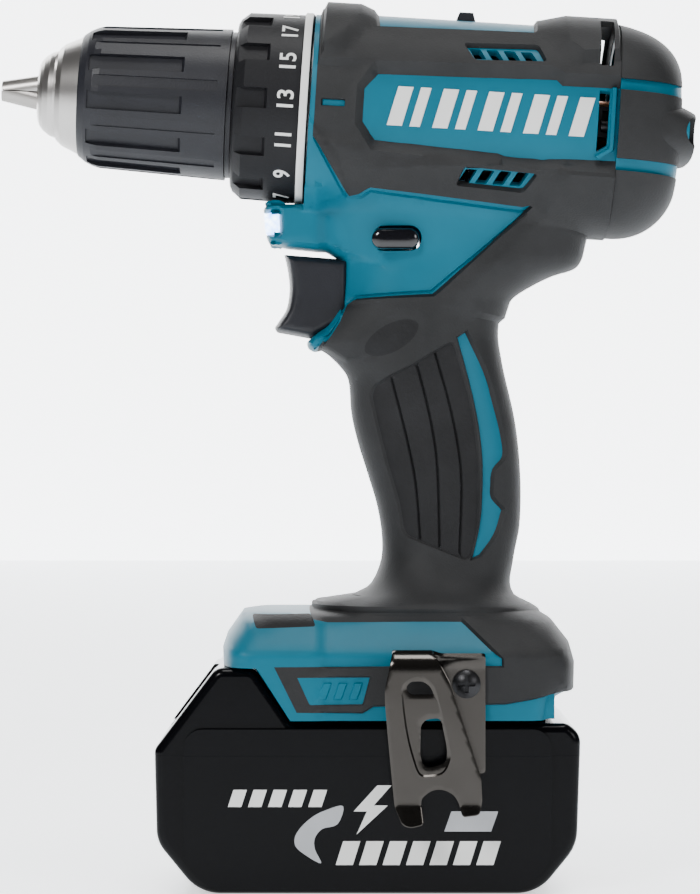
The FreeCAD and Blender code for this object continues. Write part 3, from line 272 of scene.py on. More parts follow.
def to_barrel(x, z):
    return x * COS - (z - AXIS_HEIGHT) * SIN, x * SIN + (z - AXIS_HEIGHT) * COS


def soften(points, radius, steps=4):
    """Closed outline with its corners rounded."""
    points = np.asarray(points, float)
    result = []
    count = len(points)
    for i in range(count):
        corner = points[i]
        before, after = points[i - 1] - corner, points[(i + 1) % count] - corner
        reach = min(radius, 0.45 * np.linalg.norm(before), 0.45 * np.linalg.norm(after))
        start = corner + before / np.linalg.norm(before) * reach
        end = corner + after / np.linalg.norm(after) * reach
        for k in range(steps + 1):
            t = k / steps
            result.append((1 - t) ** 2 * start + 2 * t * (1 - t) * corner + t * t * end)
    return np.array(result)


def flowing(points, per=6, closed=False):
    """Smooth curve through points (Catmull-Rom)."""
    points = np.asarray(points, float)
    count = len(points)
    result = []
    spans = count if closed else count - 1
    for i in range(spans):
        if closed:
            p0, p1, p2, p3 = (points[(i + k) % count] for k in (-1, 0, 1, 2))
        else:
            p0, p1 = points[max(i - 1, 0)], points[i]
            p2, p3 = points[i + 1], points[min(i + 2, count - 1)]
        for k in range(per):
            t = k / per
            result.append(0.5 * ((2 * p1) + (p2 - p0) * t + (2 * p0 - 5 * p1 + 4 * p2 - p3) * t * t
                                 + (3 * p1 - p0 - 3 * p2 + p3) * t ** 3))
    if not closed:
        result.append(points[-1])
    return np.array(result)


def offset(outline, distance):
    """Closed outline moved inwards by a distance (outwards if it is negative)."""
    outline = np.asarray(outline, float)
    x, z = outline[:, 0], outline[:, 1]
    area = 0.5 * np.sum(x * np.roll(z, -1) - np.roll(x, -1) * z)
    side = 1.0 if area > 0 else -1.0
    ahead = np.roll(outline, -1, axis=0) - outline
    ahead /= np.maximum(np.linalg.norm(ahead, axis=1), 1e-9)[:, None]
    normal = side * np.column_stack([-ahead[:, 1], ahead[:, 0]])
    before = np.roll(normal, 1, axis=0)
    mean = normal + before
    mean /= np.maximum(np.linalg.norm(mean, axis=1), 1e-9)[:, None]
    stretch = np.clip(1.0 / np.maximum(np.sum(mean * normal, axis=1), 0.2), 1.0, 3.0)
    return outline + mean * (distance * stretch)[:, None]


def divided(outline, step, closed=True):
    """Outline with long stretches divided, so that it follows a curved surface."""
    outline = np.asarray(outline, float)
    result = []
    count = len(outline) if closed else len(outline) - 1
    for i in range(count):
        p, q = outline[i], outline[(i + 1) % len(outline)]
        parts = max(1, int(math.ceil(np.linalg.norm(q - p) / step)))
        result += [p + (q - p) * k / parts for k in range(parts)]
    if not closed:
        result.append(outline[-1])
    return np.array(result)


def inside(points, outline):
    """Which points lie inside a closed outline."""
    x, z = points[:, 0], points[:, 1]
    result = np.zeros(len(points), bool)
    previous = outline[-1]
    for corner in outline:
        (x1, z1), (x2, z2) = previous, corner
        if z1 != z2:
            crosses = (z1 > z) != (z2 > z)
            result ^= crosses & (x < (x2 - x1) * (z - z1) / (z2 - z1) + x1)
        previous = corner
    return result


def distance_to(points, outline, closed=True):
    """Distance of each point from an outline's line."""
    result = np.full(len(points), 1e9)
    count = len(outline) if closed else len(outline) - 1
    for i in range(count):
        p, q = outline[i], outline[(i + 1) % len(outline)]
        d = q - p
        length = max(float(d @ d), 1e-12)
        t = np.clip(((points - p) @ d) / length, 0, 1)
        gap = points - p - t[:, None] * d
        result = np.minimum(result, np.einsum("ij,ij->i", gap, gap))
    return np.sqrt(result)


def headings(line):
    """Unit direction of an open line at each of its points."""
    ahead = np.gradient(line, axis=0)
    return ahead / np.linalg.norm(ahead, axis=1)[:, None]


# ---------------------------------------------------------------- triangles
def rim_edges(faces):
    """Every edge of every face, and the indices of those that only one face has."""
    edges = np.concatenate([faces[:, [0, 1]], faces[:, [1, 2]], faces[:, [2, 0]]])
    _, index, times = np.unique(np.sort(edges, axis=1), axis=0, return_index=True,
                                return_counts=True)
    return edges, index[times == 1]


def renumbered(faces, count):
    """Points that the faces use, and the faces with only those points numbered."""
    used = np.unique(faces)
    number = np.full(count, -1)
    number[used] = np.arange(len(used))
    return used, number[faces]


# ---------------------------------------------------------------- relief surfaces
class Step:
    """A terrace on a surface: it rises or sinks from an outer outline to an inner one."""

    def __init__(self, outer, level, ramp=0.6, paint=None, inner=None, paint_ramp=False,
                 add=False):
        self.outer = divided(outer, 2.0)
        self.inner = divided(offset(outer, ramp) if inner is None else inner, 2.0)
        self.level = level
        self.paint = paint
        self.paint_outline = self.outer if paint_ramp else self.inner
        self.add = add

    def apply(self, points, level):
        within = inside(points, self.outer)
        full = inside(points, self.inner)
        from_outer = distance_to(points, self.outer)
        from_inner = distance_to(points, self.inner)
        t = from_outer / np.maximum(from_outer + from_inner, 1e-9)
        t = np.where(full, 1.0, np.where(within, t, 0.0))
        target = level + self.level if self.add else self.level
        return level * (1 - t) + target * t

    def loops(self):
        return [self.outer, self.inner]


class Groove:
    """A narrow groove along an open line."""

    def __init__(self, line, width, depth):
        self.line = divided(line, 1.2, closed=False)
        self.width = width
        self.depth = depth

    def sides(self):
        ahead = headings(self.line)
        normal = np.column_stack([-ahead[:, 1], ahead[:, 0]])
        return [self.line + normal * self.width * k for k in (-0.5, 0.0, 0.5)]

    def apply(self, points, level):
        gap = distance_to(points, self.line, closed=False)
        return level - self.depth * np.clip(1 - 2 * gap / self.width, 0, 1)


def triangulate(points, loops, lines):
    """Constrained Delaunay triangulation of free points, closed loops and open lines."""
    verts = [Vector((float(x), float(z))) for x, z in points]
    edges = []
    for chain, closed in [(c, True) for c in loops] + [(c, False) for c in lines]:
        start = len(verts)
        verts += [Vector((float(x), float(z))) for x, z in chain]
        count = len(chain)
        edges += [(start + i, start + i + 1) for i in range(count - 1)]
        if closed:
            edges.append((start + count - 1, start))
    out = delaunay_2d_cdt(verts, edges, [], 0, 1e-4)
    flat = np.array([[v.x, v.y] for v in out[0]])
    faces = np.array([f for f in out[2] if len(f) == 3])
    a, b, c = flat[faces[:, 0]], flat[faces[:, 1]], flat[faces[:, 2]]
    area = (b[:, 0] - a[:, 0]) * (c[:, 1] - a[:, 1]) - (b[:, 1] - a[:, 1]) * (c[:, 0] - a[:, 0])
    faces[area < 0] = faces[area < 0][:, ::-1]
    return flat, faces[np.abs(area) > 1e-7]


def scattered(low, high, spacing):
    """Triangular grid of points over a rectangle."""
    rows = np.arange(low[1], high[1], spacing * 0.866)
    grid = []
    for i, z in enumerate(rows):
        xs = np.arange(low[0] + (i % 2) * spacing / 2, high[0], spacing)
        grid.append(np.column_stack([xs, np.full(len(xs), z)]))
    return np.concatenate(grid)


class Relief:
    """One side of a body, as a half width over the side view, with terraces and holes."""

    BASE_PAINT = "rubber"
    SPACING = 1.7                   # between the free points of the surface
    MEETING = 1.2                   # rim points nearer the middle plane lie on it

    def __init__(self, half_width, keep, outlines, rows, steps, grooves, holes, calm):
        self.half_width, self.steps = half_width, list(steps)
        self.grooves, self.holes = list(grooves), [np.asarray(h) for h in holes]
        loops = [divided(o, 1.5) for o in outlines]
        for step in self.steps:
            loops += step.loops()
        loops += [divided(h, 2.0) for h in self.holes]
        lines = [np.asarray(row, float) for row in rows]
        lines += [side for groove in self.grooves for side in groove.sides()]
        everything = np.concatenate(loops)
        grid = scattered(everything.min(0), everything.max(0), self.SPACING)
        near = np.full(len(grid), 1e9)
        for loop in loops:
            near = np.minimum(near, distance_to(grid, loop))
        for line in lines:
            near = np.minimum(near, distance_to(grid, line, closed=False))
        grid = grid[near > CLEAR * self.SPACING]
        flat, faces = triangulate(grid, loops, lines)
        middle = flat[faces].mean(axis=1)
        good = keep(middle)
        for hole in self.holes:
            good &= ~inside(middle, hole)
        used, self.faces = renumbered(faces[good], len(flat))
        self.flat = flat[used]
        self.finish(calm)

    def finish(self, calm):
        flat, faces = self.flat, self.faces
        half = self.half_width(flat)
        edges, lone = rim_edges(faces)
        rim = np.unique(edges[lone])
        shut = rim[half[rim] < self.MEETING]
        half[shut] = 0.0
        base = np.column_stack([flat[:, 0], -half, flat[:, 1]])
        a, b, c = base[faces[:, 0]], base[faces[:, 1]], base[faces[:, 2]]
        face_normal = np.cross(b - a, c - a)
        normal = np.zeros_like(base)
        for k in range(3):
            np.add.at(normal, faces[:, k], face_normal)
        normal[shut, 1] = 0.0
        normal /= np.maximum(np.linalg.norm(normal, axis=1), 1e-12)[:, None]
        level = np.zeros(len(flat))
        for step in self.steps + self.grooves:
            level = step.apply(flat, level)
        self.base, self.normal, self.level = base, normal, level * calm(flat, half)
        middle = flat[faces].mean(axis=1)
        self.paint = np.array([self.BASE_PAINT] * len(faces), dtype=object)
        for step in self.steps:
            if step.paint:
                self.paint[inside(middle, step.paint_outline)] = step.paint

    def shell(self, paints, thickness):
        """Closed shell of the faces with these paints: (points, faces, paint of each face)."""
        chosen = np.isin(self.paint.astype(str), list(paints))
        used, faces = renumbered(self.faces[chosen], len(self.flat))
        paint, count = self.paint[chosen], len(used)
        outer = self.base[used] + self.normal[used] * self.level[used][:, None]
        inner = outer - self.normal[used] * thickness
        outer[:, 1] = np.minimum(outer[:, 1], 0.0)
        inner[:, 1] = np.minimum(inner[:, 1], 0.0)
        edges, rim = rim_edges(faces)
        owner = np.tile(np.arange(len(faces)), 3)
        walls = [(int(edges[e, 1]), int(edges[e, 0]), int(edges[e, 0]) + count,
                  int(edges[e, 1]) + count) for e in rim]
        all_faces = [tuple(int(i) for i in f) for f in faces]
        all_faces += [tuple(int(i) + count for i in f[::-1]) for f in faces] + walls
        paints = list(paint) + list(paint) + [paint[owner[e]] for e in rim]
        return np.concatenate([outer, inner]), all_faces, paints


def make_mesh(name, points, faces, paints, mirror=False):
    """Mesh object in metres, its sharp edges kept by angle. `paints` is one, or one a face."""
    if isinstance(paints, str):
        paints = [paints] * len(faces)
    points = np.asarray(points, float) * MM
    if mirror:
        points = points * np.array([1, -1, 1])
        faces = [tuple(reversed(f)) for f in faces]
    mesh = bpy.data.meshes.new(name)
    mesh.from_pydata([tuple(p) for p in points], [], faces)
    names = sorted(set(paints))
    for paint in names:
        mesh.materials.append(MATERIALS[paint])
    mesh.polygons.foreach_set("material_index", [names.index(p) for p in paints])
    mesh.validate()
    mesh.shade_smooth()
    mesh.set_sharp_from_angle(angle=SHARP_ANGLE)
    obj = bpy.data.objects.new(name, mesh)
    bpy.context.collection.objects.link(obj)
    return obj


def superellipse(u, power):
    return np.maximum(1 - np.abs(u) ** power, 0.0) ** (1 / power)


def blended(parts, power):
    """Smooth greatest of several half widths."""
    top = np.maximum.reduce(parts)
    safe = np.maximum(top, 1e-9)
    total = sum((np.maximum(p, 0) / safe) ** power for p in parts)
    return top * total ** (1 / power)


# ---------------------------------------------------------------- the tool's body
BARREL_A = [-15.8, -12.0, 0.0, 30.0, 68.3, 75.0, 80.0, 85.0, 92.0]
BARREL_W = [27.2, 27.8, 29.2, 30.2, 30.8, 30.8, 30.6, 30.4, 30.2]
BARREL_TOP, BARREL_BOTTOM = 28.2, -29.8
BARREL_POWER = 2.35
# height, front, rear, half width of the grip
GRIP = np.array([
    (197.0, -13.0, 62.0, 23.5), (187.0, -11.5, 62.0, 21.6), (178.0, -9.0, 60.0, 19.9),
    (172.0, -7.8, 58.0, 19.2), (169.8, -7.7, 52.0, 19.0), (167.0, -7.7, 46.0, 18.7),
    (163.0, -8.1, 39.9, 18.4), (159.0, -9.1, 38.0, 18.1), (155.0, -11.6, 36.9, 17.9),
    (152.0, -14.4, 36.7, 17.7), (150.2, -15.4, 36.8, 17.6), (148.6, -14.4, 37.0, 17.4),
    (146.4, -11.0, 37.4, 17.2), (143.0, -7.5, 38.0, 17.0), (139.0, -5.2, 38.9, 16.8),
    (130.0, -4.4, 41.0, 16.5), (122.0, -2.6, 42.2, 16.4), (113.0, 0.2, 42.9, 16.3),
    (105.0, 2.6, 43.0, 16.4), (98.0, 3.9, 42.6, 16.6), (92.0, 4.2, 41.4, 17.3),
    (88.0, 3.6, 40.7, 18.3), (84.0, 2.0, 40.0, 20.3), (81.5, 0.0, 40.2, 22.6),
    (79.5, -4.0, 41.2, 25.2), (78.4, -10.0, 42.8, 27.4), (77.9, -14.8, 44.0, 28.6),
    (76.6, -15.5, 46.5, 29.6), (75.4, -15.5, 48.0, 29.0), (74.2, -14.5, 48.0, 26.6),
    (72.0, -12.0, 46.0, 20.0), (69.0, -8.0, 42.0, 10.0), (66.0, -4.0, 38.0, 2.0)])
GRIP_POWER = 2.5
SNOUT = soften([(-27.4, 188.3), (-29.0, 186.9), (-28.7, 185.3), (-24.6, 186.0), (-24.4, 180.0),
                (-28.3, 179.7), (-27.4, 177.4), (-22.5, 176.2), (-11.4, 175.0), (-7.8, 172.8),
                (4.0, 170.0), (4.0, 196.0), (-13.4, 196.0), (-15.4, 188.4)], 0.8)
NOSE_HALF = 11.4                # half width of the snout and of the hook under the trigger
HOOK = soften([(-16.9, 149.8), (-16.6, 148.2), (-14.9, 147.1), (-12.4, 147.6), (-6.0, 143.6),
               (4.0, 146.0), (4.0, 160.0), (-8.6, 160.0), (-12.6, 153.9)], 0.7)
FOOT_FRONT = np.array([(-39.6, 61.2), (-39.8, 66.0), (-38.6, 69.6), (-34.6, 75.2), (-31.0, 76.0)])
FOOT_TOP = np.array([(-31.0, 76.0), (46.0, 76.0)])
FOOT_REAR = np.array([(46.0, 76.0), (51.0, 73.0), (55.4, 67.4), (56.9, 62.0), (56.7, 54.8),
                      (55.6, 53.2), (52.4, 51.8), (51.8, 46.9)])
FOOT_BASE = np.array([(51.8, 46.9), (-20.8, 46.9), (-29.0, 59.6), (-30.0, 61.0)])
FOOT = np.concatenate([FOOT_FRONT[:-1], FOOT_TOP, FOOT_REAR[1:], FOOT_BASE[1:]])
FOOT_GROWN = offset(FOOT, -0.05)


def barrel_half(points):
    a, h = to_barrel(points[:, 0], points[:, 1])
    middle, reach = (BARREL_TOP + BARREL_BOTTOM) / 2, (BARREL_TOP - BARREL_BOTTOM) / 2
    half = np.interp(a, BARREL_A, BARREL_W) * superellipse((h - middle) / reach, BARREL_POWER)
    return np.where((a < BARREL_FRONT - 0.01) | (a > SEAM + 0.01), 0.0, half)


def grip_half(points):
    x, z = points[:, 0], points[:, 1]
    dense = flowing(GRIP, 8)[::-1]
    front, rear, half = (np.interp(z, dense[:, 0], dense[:, k]) for k in (1, 2, 3))
    u = (x - (front + rear) / 2) / ((rear - front) / 2)
    return np.where((z > 197) | (z < 66.0), 0.0, half * superellipse(u, GRIP_POWER))


def edge_round(distance, reach, power=2.4):
    return superellipse(1 - np.clip(distance / reach, 0, 1), power)


def snout_half(points):
    half = NOSE_HALF * edge_round(distance_to(points, SNOUT), 2.6, 3.0)
    return np.where(inside(points, SNOUT), half, 0.0)


def hook_half(points):
    half = NOSE_HALF * edge_round(distance_to(points, HOOK), 2.0)
    return np.where(inside(points, HOOK), half, 0.0)


def foot_half(points):
    z = points[:, 1]
    side = np.interp(z, [46, 64.2, 65.0, 66.0, 73.6, 75.1, 75.5, 75.8, 75.95, 76.0],
                     [37.5, 37.5, 37.2, 36.6, 29.6, 24.2, 20.0, 14.0, 7.0, 0.0])
    ends = np.minimum(distance_to(points, FOOT_FRONT, False),
                      distance_to(points, FOOT_REAR, False))
    half = side * edge_round(ends, 11.0, 4.0)
    return np.where(inside(points, FOOT_GROWN), half, 0.0)


def body_half(points):
    upper = blended([barrel_half(points), grip_half(points), snout_half(points),
                     hook_half(points)], 7.0)
    return blended([upper, foot_half(points)], 9.0)


def body_keep(points):
    """Which points lie on the body halves: on some part of them, and ahead of the rear cover."""
    a = to_barrel(points[:, 0], points[:, 1])[0]
    solid = (barrel_half(points) > 0) | (grip_half(points) > 0) | inside(points, FOOT)
    solid |= inside(points, SNOUT) | inside(points, HOOK)
    return solid & (a <= SEAM)


def body_calm(points, half):
    """Share of each terrace kept, so that thin noses and lips hold their own thickness."""
    x, z = points[:, 0], points[:, 1]
    share = np.where(z < 192, 1 - np.clip((-11.4 - x) / 2.5, 0, 1), 1.0)
    return np.where((z > 140) & (z < 176) & (x < 4), share * np.clip((half - 3) / 8, 0, 1), share)


def silhouette_rows():
    """Rows of points close to the silhouettes, where the surface turns away."""
    rows = []
    angles = np.radians([50, 58, 65, 71, 76, 80, 83.5, 86.5, 88.5])
    middle, reach = (BARREL_TOP + BARREL_BOTTOM) / 2, (BARREL_TOP - BARREL_BOTTOM) / 2
    along = np.linspace(BARREL_FRONT, SEAM, 52)
    for angle in angles:
        for side in (-1, 1):
            h = middle + side * reach * math.sin(angle)
            rows.append(barrel(np.column_stack([along, np.full(len(along), h)])))
    dense = flowing(GRIP, 8)[::-1]
    heights = np.arange(78.0, 180.0, 1.6)
    front, rear = (np.interp(heights, dense[:, 0], dense[:, k]) for k in (1, 2))
    for angle in angles:
        for side in (-1, 1):
            x = (front + rear) / 2 + side * (rear - front) / 2 * math.sin(angle)
            rows.append(np.column_stack([x, heights]))
    for depth in (0.01, 0.06, 0.2, 0.5, 1.0, 1.8, 3.0, 4.8, 7.0):
        for line in (FOOT_FRONT, FOOT_REAR):
            path = divided(line, 1.5, closed=False)
            ahead = headings(path)
            rows.append(path + depth * np.column_stack([ahead[:, 1], -ahead[:, 0]]))
    for height in (77.2, 76.6, 75.95, 75.8, 75.5, 75.1, 74.7, 72.8, 66.0, 65.0, 64.2):
        rows.append(divided([(-42.0, height), (60.0, height)], 1.5, closed=False))
    for depth in (0.04, 0.15, 0.4, 0.9, 1.6):
        for line in (SNOUT, HOOK):
            ring = divided(offset(line, depth), 1.0)
            rows.append(np.concatenate([ring, ring[:1]]))
    return rows


def body_steps():
    """Terraces of the side of the body, from the broad ones to the fine ones."""
    teal_front = barrel([(-15.9, 45), (-13.9, 45), (-13.9, -9.4), (-3.4, -24.8), (-1.0, -24.2),
                         (1.8, -22.3), (44.0, -25.0), (47.6, -24.0)])
    grip_line = np.array([(20.1, 163.2), (18.4, 161.9), (-3.8, 161.1), (-5.6, 159.9),
                          (-7.5, 155.2), (-10.8, 150.0), (-13.6, 146.4), (-20.0, 140.0),
                          (-60.0, 140.0)])
    left = barrel([(-60.0, 45.0)])
    panel = np.concatenate([teal_front, grip_line, left])
    ridge = barrel([(-15.9, 60), (-14.5, 60), (-14.5, -9.6), (-3.8, -25.6), (-0.8, -25.0),
                    (2.0, -23.1), (43.6, -25.8), (46.6, -25.0)])
    ridge_low = np.array([(19.6, 163.9), (18.0, 162.6), (-4.1, 161.8), (-6.2, 160.3),
                          (-8.2, 155.5), (-11.5, 150.4), (-14.3, 146.8), (-20.6, 140.6),
                          (-61.0, 140.6)])
    panel_in = np.concatenate([ridge, ridge_low, barrel([(-61.0, 60.0)])])
    mass = np.concatenate([barrel([(47.4, -24.6), (44.0, -25.6)]),
                           np.array([(20.0, 161.0), (19.0, 158.0), (70.0, 150.0)]),
                           barrel([(80.0, -60.0), (80.0, -13.6), (53.0, -13.6), (48.0, -20.0)])])
    mass_in = np.concatenate([barrel([(50.4, -26.0), (46.0, -31.0)]),
                              np.array([(25.0, 163.0), (30.0, 158.0), (72.0, 152.0)]),
                              barrel([(82.0, -60.0), (82.0, -15.4), (55.4, -15.4), (52.6, -20.0)])])
    pad = barrel([(-16.5, 12.2), (-2.0, 12.2), (2.2, 12.4), (1.0, -12.6), (-5.0, -11.6),
                  (-16.5, -10.8)])
    pad_in = barrel([(-16.5, 10.4), (-3.2, 10.2), (-4.0, 5.6), (-4.0, -5.6), (-4.0, -9.0),
                     (-16.5, -9.4)])
    label = barrel([(1.2, 11.9), (49.4, 13.5), (53.4, 11.7), (70.0, 11.9), (70.0, -14.6),
                    (52.0, -14.6), (48.4, -15.2), (1.6, -12.4), (-3.3, -5.7), (-3.3, 5.2)])
    label_in = barrel([(2.3, 9.2), (51.0, 10.7), (52.6, 9.0), (71.0, 9.4), (71.0, -12.2),
                       (50.0, -12.4), (48.0, -12.6), (2.5, -10.2), (-1.4, -5.0), (-1.4, 4.5)])
    strip = barrel([(1.2, 22.2), (45.2, 23.2), (46.6, 45.0), (-2.0, 45.0)])
    strip_in = barrel([(2.2, 23.0), (44.4, 23.9), (45.6, 46.0), (-0.6, 46.0)])
    front_bump = barrel([(-13.6, 12.6), (-13.6, 45), (2.0, 45), (1.4, 22.8), (-8.6, 12.6)])
    front_bump_in = barrel([(-12.7, 15.6), (-12.7, 46), (-3.3, 46), (-3.3, 24.0), (-11.4, 15.6)])
    rear_bump = barrel([(44.6, 22.8), (43.8, 45), (68.2, 45), (68.2, 16.0), (57.0, 14.6),
                        (49.0, 19.0)])
    rear_bump_in = barrel([(53.4, 24.8), (53.2, 46), (67.4, 46), (67.4, 18.0), (58.0, 17.2),
                           (54.4, 19.6)])
    steps = [
        Step(panel, -1.7, inner=panel_in, paint="teal"),
        Step(mass, 1.3, inner=mass_in, add=True),
        Step(front_bump, 2.0, inner=front_bump_in, add=True),
        Step(rear_bump, 2.2, inner=rear_bump_in, add=True),
        Step(strip, -1.0, inner=strip_in, paint="teal"),
        Step(pad, -1.3, inner=pad_in),
        Step(label, -3.1, inner=label_in, paint="teal"),
    ]
    facet = np.array([(-17.6, 188.0), (-9.1, 186.8), (-4.8, 189.4), (-8.0, 200.0),
                      (-19.0, 215.0)])
    steps.append(Step(facet, 0.6, ramp=1.0, add=True))
    steps += vent_steps() + grip_steps() + foot_steps()
    slit = soften(barrel([(-12.9, 1.0), (-6.2, 1.0), (-6.2, -1.2), (-12.9, -1.2)]), 0.5)
    steps.append(Step(slit, -2.2, ramp=0.3, paint="teal"))
    for i in range(9):
        width = 4.2 if i % 2 == 0 else 2.9
        start = 5.4 + 6.2 * i
        bar = barrel([(start, -5.6), (start + width, -5.6), (start + width + 2.6, 5.9),
                      (start + 2.6, 5.9)])
        steps.append(Step(bar, 0.3, ramp=0.1, paint="white", add=True, paint_ramp=True))
    return steps


UPPER_VENT = [(25.0, 18.6), (45.6, 19.4), (48.2, 14.6), (28.4, 13.8)]
LOWER_VENT = [(27.2, -15.4), (47.6, -16.2), (44.0, -21.4), (25.2, -20.6)]


def vent_steps():
    steps = []
    for outline in (UPPER_VENT, LOWER_VENT):
        steps.append(Step(soften(barrel(outline), 1.2), -1.4, ramp=0.5, paint="teal"))
    rib = barrel([(66.0, 9.2), (67.6, 9.2), (67.6, -9.0), (63.4, -12.0), (62.4, -10.8),
                  (66.0, -8.4)])
    steps.append(Step(rib, -1.7, ramp=0.3, paint="teal"))
    return steps


def vent_holes():
    holes = []
    for i in range(4):
        a, b = 26.6 + 4.7 * i, 27.9 + 4.7 * i
        upper = [(a, 17.9), (a + 3.1, 18.0), (a + 5.0, 14.9), (a + 1.9, 14.8)]
        lower = [(b, -16.5), (b + 3.1, -16.6), (b + 1.0, -20.4), (b - 2.1, -20.3)]
        holes += [soften(barrel(slot), 0.5) for slot in (upper, lower)]
    holes.append(soften(barrel([(62.6, 26.0), (66.3, 26.0), (66.3, 14.5), (62.6, 14.5)]), 0.6))
    holes.append(soften(barrel([(62.8, 8.4), (65.6, 8.4), (65.6, -8.0), (62.8, -10.0)]), 0.5))
    return holes


GRIP_INSET = np.array([(1.5, 137.5), (0.5, 135.0), (2.0, 128.0), (5.0, 116.0), (8.3, 105.0),
                       (9.3, 98.0), (10.5, 96.0), (14.5, 94.3), (28.4, 88.8), (30.2, 95.0),
                       (31.0, 104.0), (31.2, 112.0), (30.6, 122.0), (28.6, 134.0), (26.0, 143.0),
                       (24.0, 150.5), (18.0, 147.0), (12.5, 143.5), (6.0, 140.5)])
CRESCENT_LEFT = [(24.4, 151.0), (27.2, 141.0), (30.0, 129.0), (31.4, 118.0), (31.4, 108.0),
                 (30.6, 99.0), (28.2, 89.2)]
CRESCENT_RIGHT = [(31.5, 90.5), (35.8, 96.0), (38.0, 102.0), (38.2, 103.6), (35.2, 106.8),
                  (35.0, 110.0), (35.6, 114.2), (38.7, 118.0), (38.2, 124.0), (36.2, 132.0),
                  (33.2, 142.0), (27.6, 153.0)]


def grip_steps():
    crescent = np.concatenate([flowing(CRESCENT_LEFT, 4), flowing(CRESCENT_RIGHT, 4)])
    inset = soften(GRIP_INSET, 3.0)
    thumb_angles = np.linspace(0, 2 * math.pi, 28, endpoint=False)
    thumb = np.column_stack([6.6 + 9.6 * np.cos(thumb_angles) + 1.5 * np.sin(thumb_angles),
                             150.6 + 7.0 * np.sin(thumb_angles) + 2.2 * np.cos(thumb_angles)])
    return [
        Step(thumb, -0.5, ramp=2.2, paint="rubber_fine", add=True),
        Step(inset, -0.7, ramp=0.5, paint="rubber_fine", add=True),
        Step(crescent, -1.1, ramp=0.7, paint="teal"),
    ]


def grip_grooves():
    lines = [[(6.5, 139.3), (9.0, 130.0), (11.4, 120.0), (13.2, 110.0), (14.3, 95.6)],
             [(13.8, 142.6), (17.0, 130.0), (19.0, 118.0), (19.6, 106.0), (19.8, 93.4)],
             [(18.7, 146.4), (22.5, 133.0), (25.0, 121.0), (26.0, 110.0), (25.4, 91.6)]]
    seam = np.concatenate([barrel([(-13.9, -10.6), (-4.4, -26.3), (-0.6, -26.0), (2.2, -24.2),
                                   (43.4, -26.9), (45.4, -26.6)]),
                           np.array([(19.1, 164.6), (17.6, 163.3), (-4.6, 162.5), (-7.0, 160.9),
                                     (-9.1, 155.9), (-12.3, 151.0), (-15.0, 148.2)])])
    return [Groove(flowing(line, 5), 0.9, 0.7) for line in lines] + [Groove(seam, 0.8, 0.5)]


def foot_steps():
    teal = np.array([(-60.0, 90.0), (-15.6, 90.0), (-15.6, 76.2), (-14.4, 74.3), (25.6, 74.3),
                     (36.6, 63.8), (36.6, 61.2), (-24.4, 60.9), (-18.8, 49.6),
                     (-1.5, 49.4), (1.5, 51.2), (37.0, 51.8), (52.0, 54.4), (60.0, 54.8),
                     (60.0, 40.0), (-60.0, 40.0)])
    inset = soften([(-31.6, 74.9), (-15.4, 75.2), (-14.0, 72.0), (-30.2, 71.4)], 0.8)
    badge = soften([(-19.7, 59.0), (1.2, 59.1), (-1.0, 50.9), (-15.9, 50.7)], 0.9)
    steps = [
        Step(teal, -0.9, ramp=0.5, paint="teal", add=True),
        Step(inset, -1.3, ramp=0.4, paint="rubber_fine", paint_ramp=True),
        Step(badge, -0.7, ramp=0.5, paint="teal", add=True),
    ]
    for i in range(3):
        x = -13.6 + 4.2 * i
        bar = soften([(x, 52.6), (x + 2.4, 52.6), (x + 4.0, 57.2), (x + 1.6, 57.2)], 0.4)
        steps.append(Step(bar, 0.4, ramp=0.25, add=True))
    return steps


def pill(x_low, x_high, z_low, z_high, steps=9):
    radius = (z_high - z_low) / 2
    middle = (z_high + z_low) / 2
    turn = np.linspace(-math.pi / 2, math.pi / 2, steps)
    along, up = radius * np.cos(turn), radius * np.sin(turn)
    right = np.column_stack([x_high - radius + along, middle + up])
    left = np.column_stack([x_low + radius - along, middle - up])
    return np.concatenate([right, left])


def circle(x, z, radius, steps=24):
    turn = np.linspace(0, 2 * math.pi, steps, endpoint=False)
    return np.column_stack([x + radius * np.cos(turn), z + radius * np.sin(turn)])


def make_body():
    outlines = [barrel([(BARREL_FRONT, BARREL_TOP), (SEAM, BARREL_TOP), (SEAM, BARREL_BOTTOM),
                        (BARREL_FRONT, BARREL_BOTTOM)])]
    dense = flowing(GRIP, 8)
    dense = dense[dense[:, 0] > 75.5]
    outlines.append(np.concatenate([dense[:, [1, 0]], dense[::-1][:, [2, 0]]]))
    outlines += [SNOUT, HOOK, FOOT]
    shared_holes = vent_holes() + [pill(0.6, 14.8, 174.4, 181.2)]
    screws = [(-9.5, 183.6), (46.0, 177.0), (15.5, 145.0), (13.4, 92.0), (-25.5, 67.0),
              (51.5, 64.5)]
    screw_holes = [circle(x, z, 3.1) for x, z in screws]
    for side, mirror, holes in (("left", False, []), ("right", True, screw_holes)):
        relief = Relief(body_half, body_keep, outlines, silhouette_rows(), body_steps(),
                        grip_grooves(), shared_holes + holes, body_calm)
        hard = make_mesh(side + "_shell", *relief.shell({"teal", "white"}, HARD_WALL),
                         mirror=mirror)
        soft = make_mesh(side + "_soft_layer",
                         *relief.shell({"rubber", "rubber_fine"}, SOFT_WALL), mirror=mirror)
        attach(hard, "drill_body")
        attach(soft, "drill_body")
        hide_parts(side + "_housing")
        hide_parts(side + "_overmould")


# ---------------------------------------------------------------- small shaped pieces
def region(outline, loops, holes=(), spacing=1.0):
    """Triangulated inside of an outline, less its holes."""
    chains = [outline] + list(loops) + list(holes)
    grid = scattered(outline.min(0), outline.max(0), spacing)
    near = np.minimum.reduce([distance_to(grid, chain) for chain in chains])
    flat, faces = triangulate(grid[near > CLEAR * spacing], chains, [])
    middle = flat[faces].mean(axis=1)
    good = inside(middle, outline)
    for hole in holes:
        good &= ~inside(middle, hole)
    used, faces = renumbered(faces[good], len(flat))
    return flat[used], faces


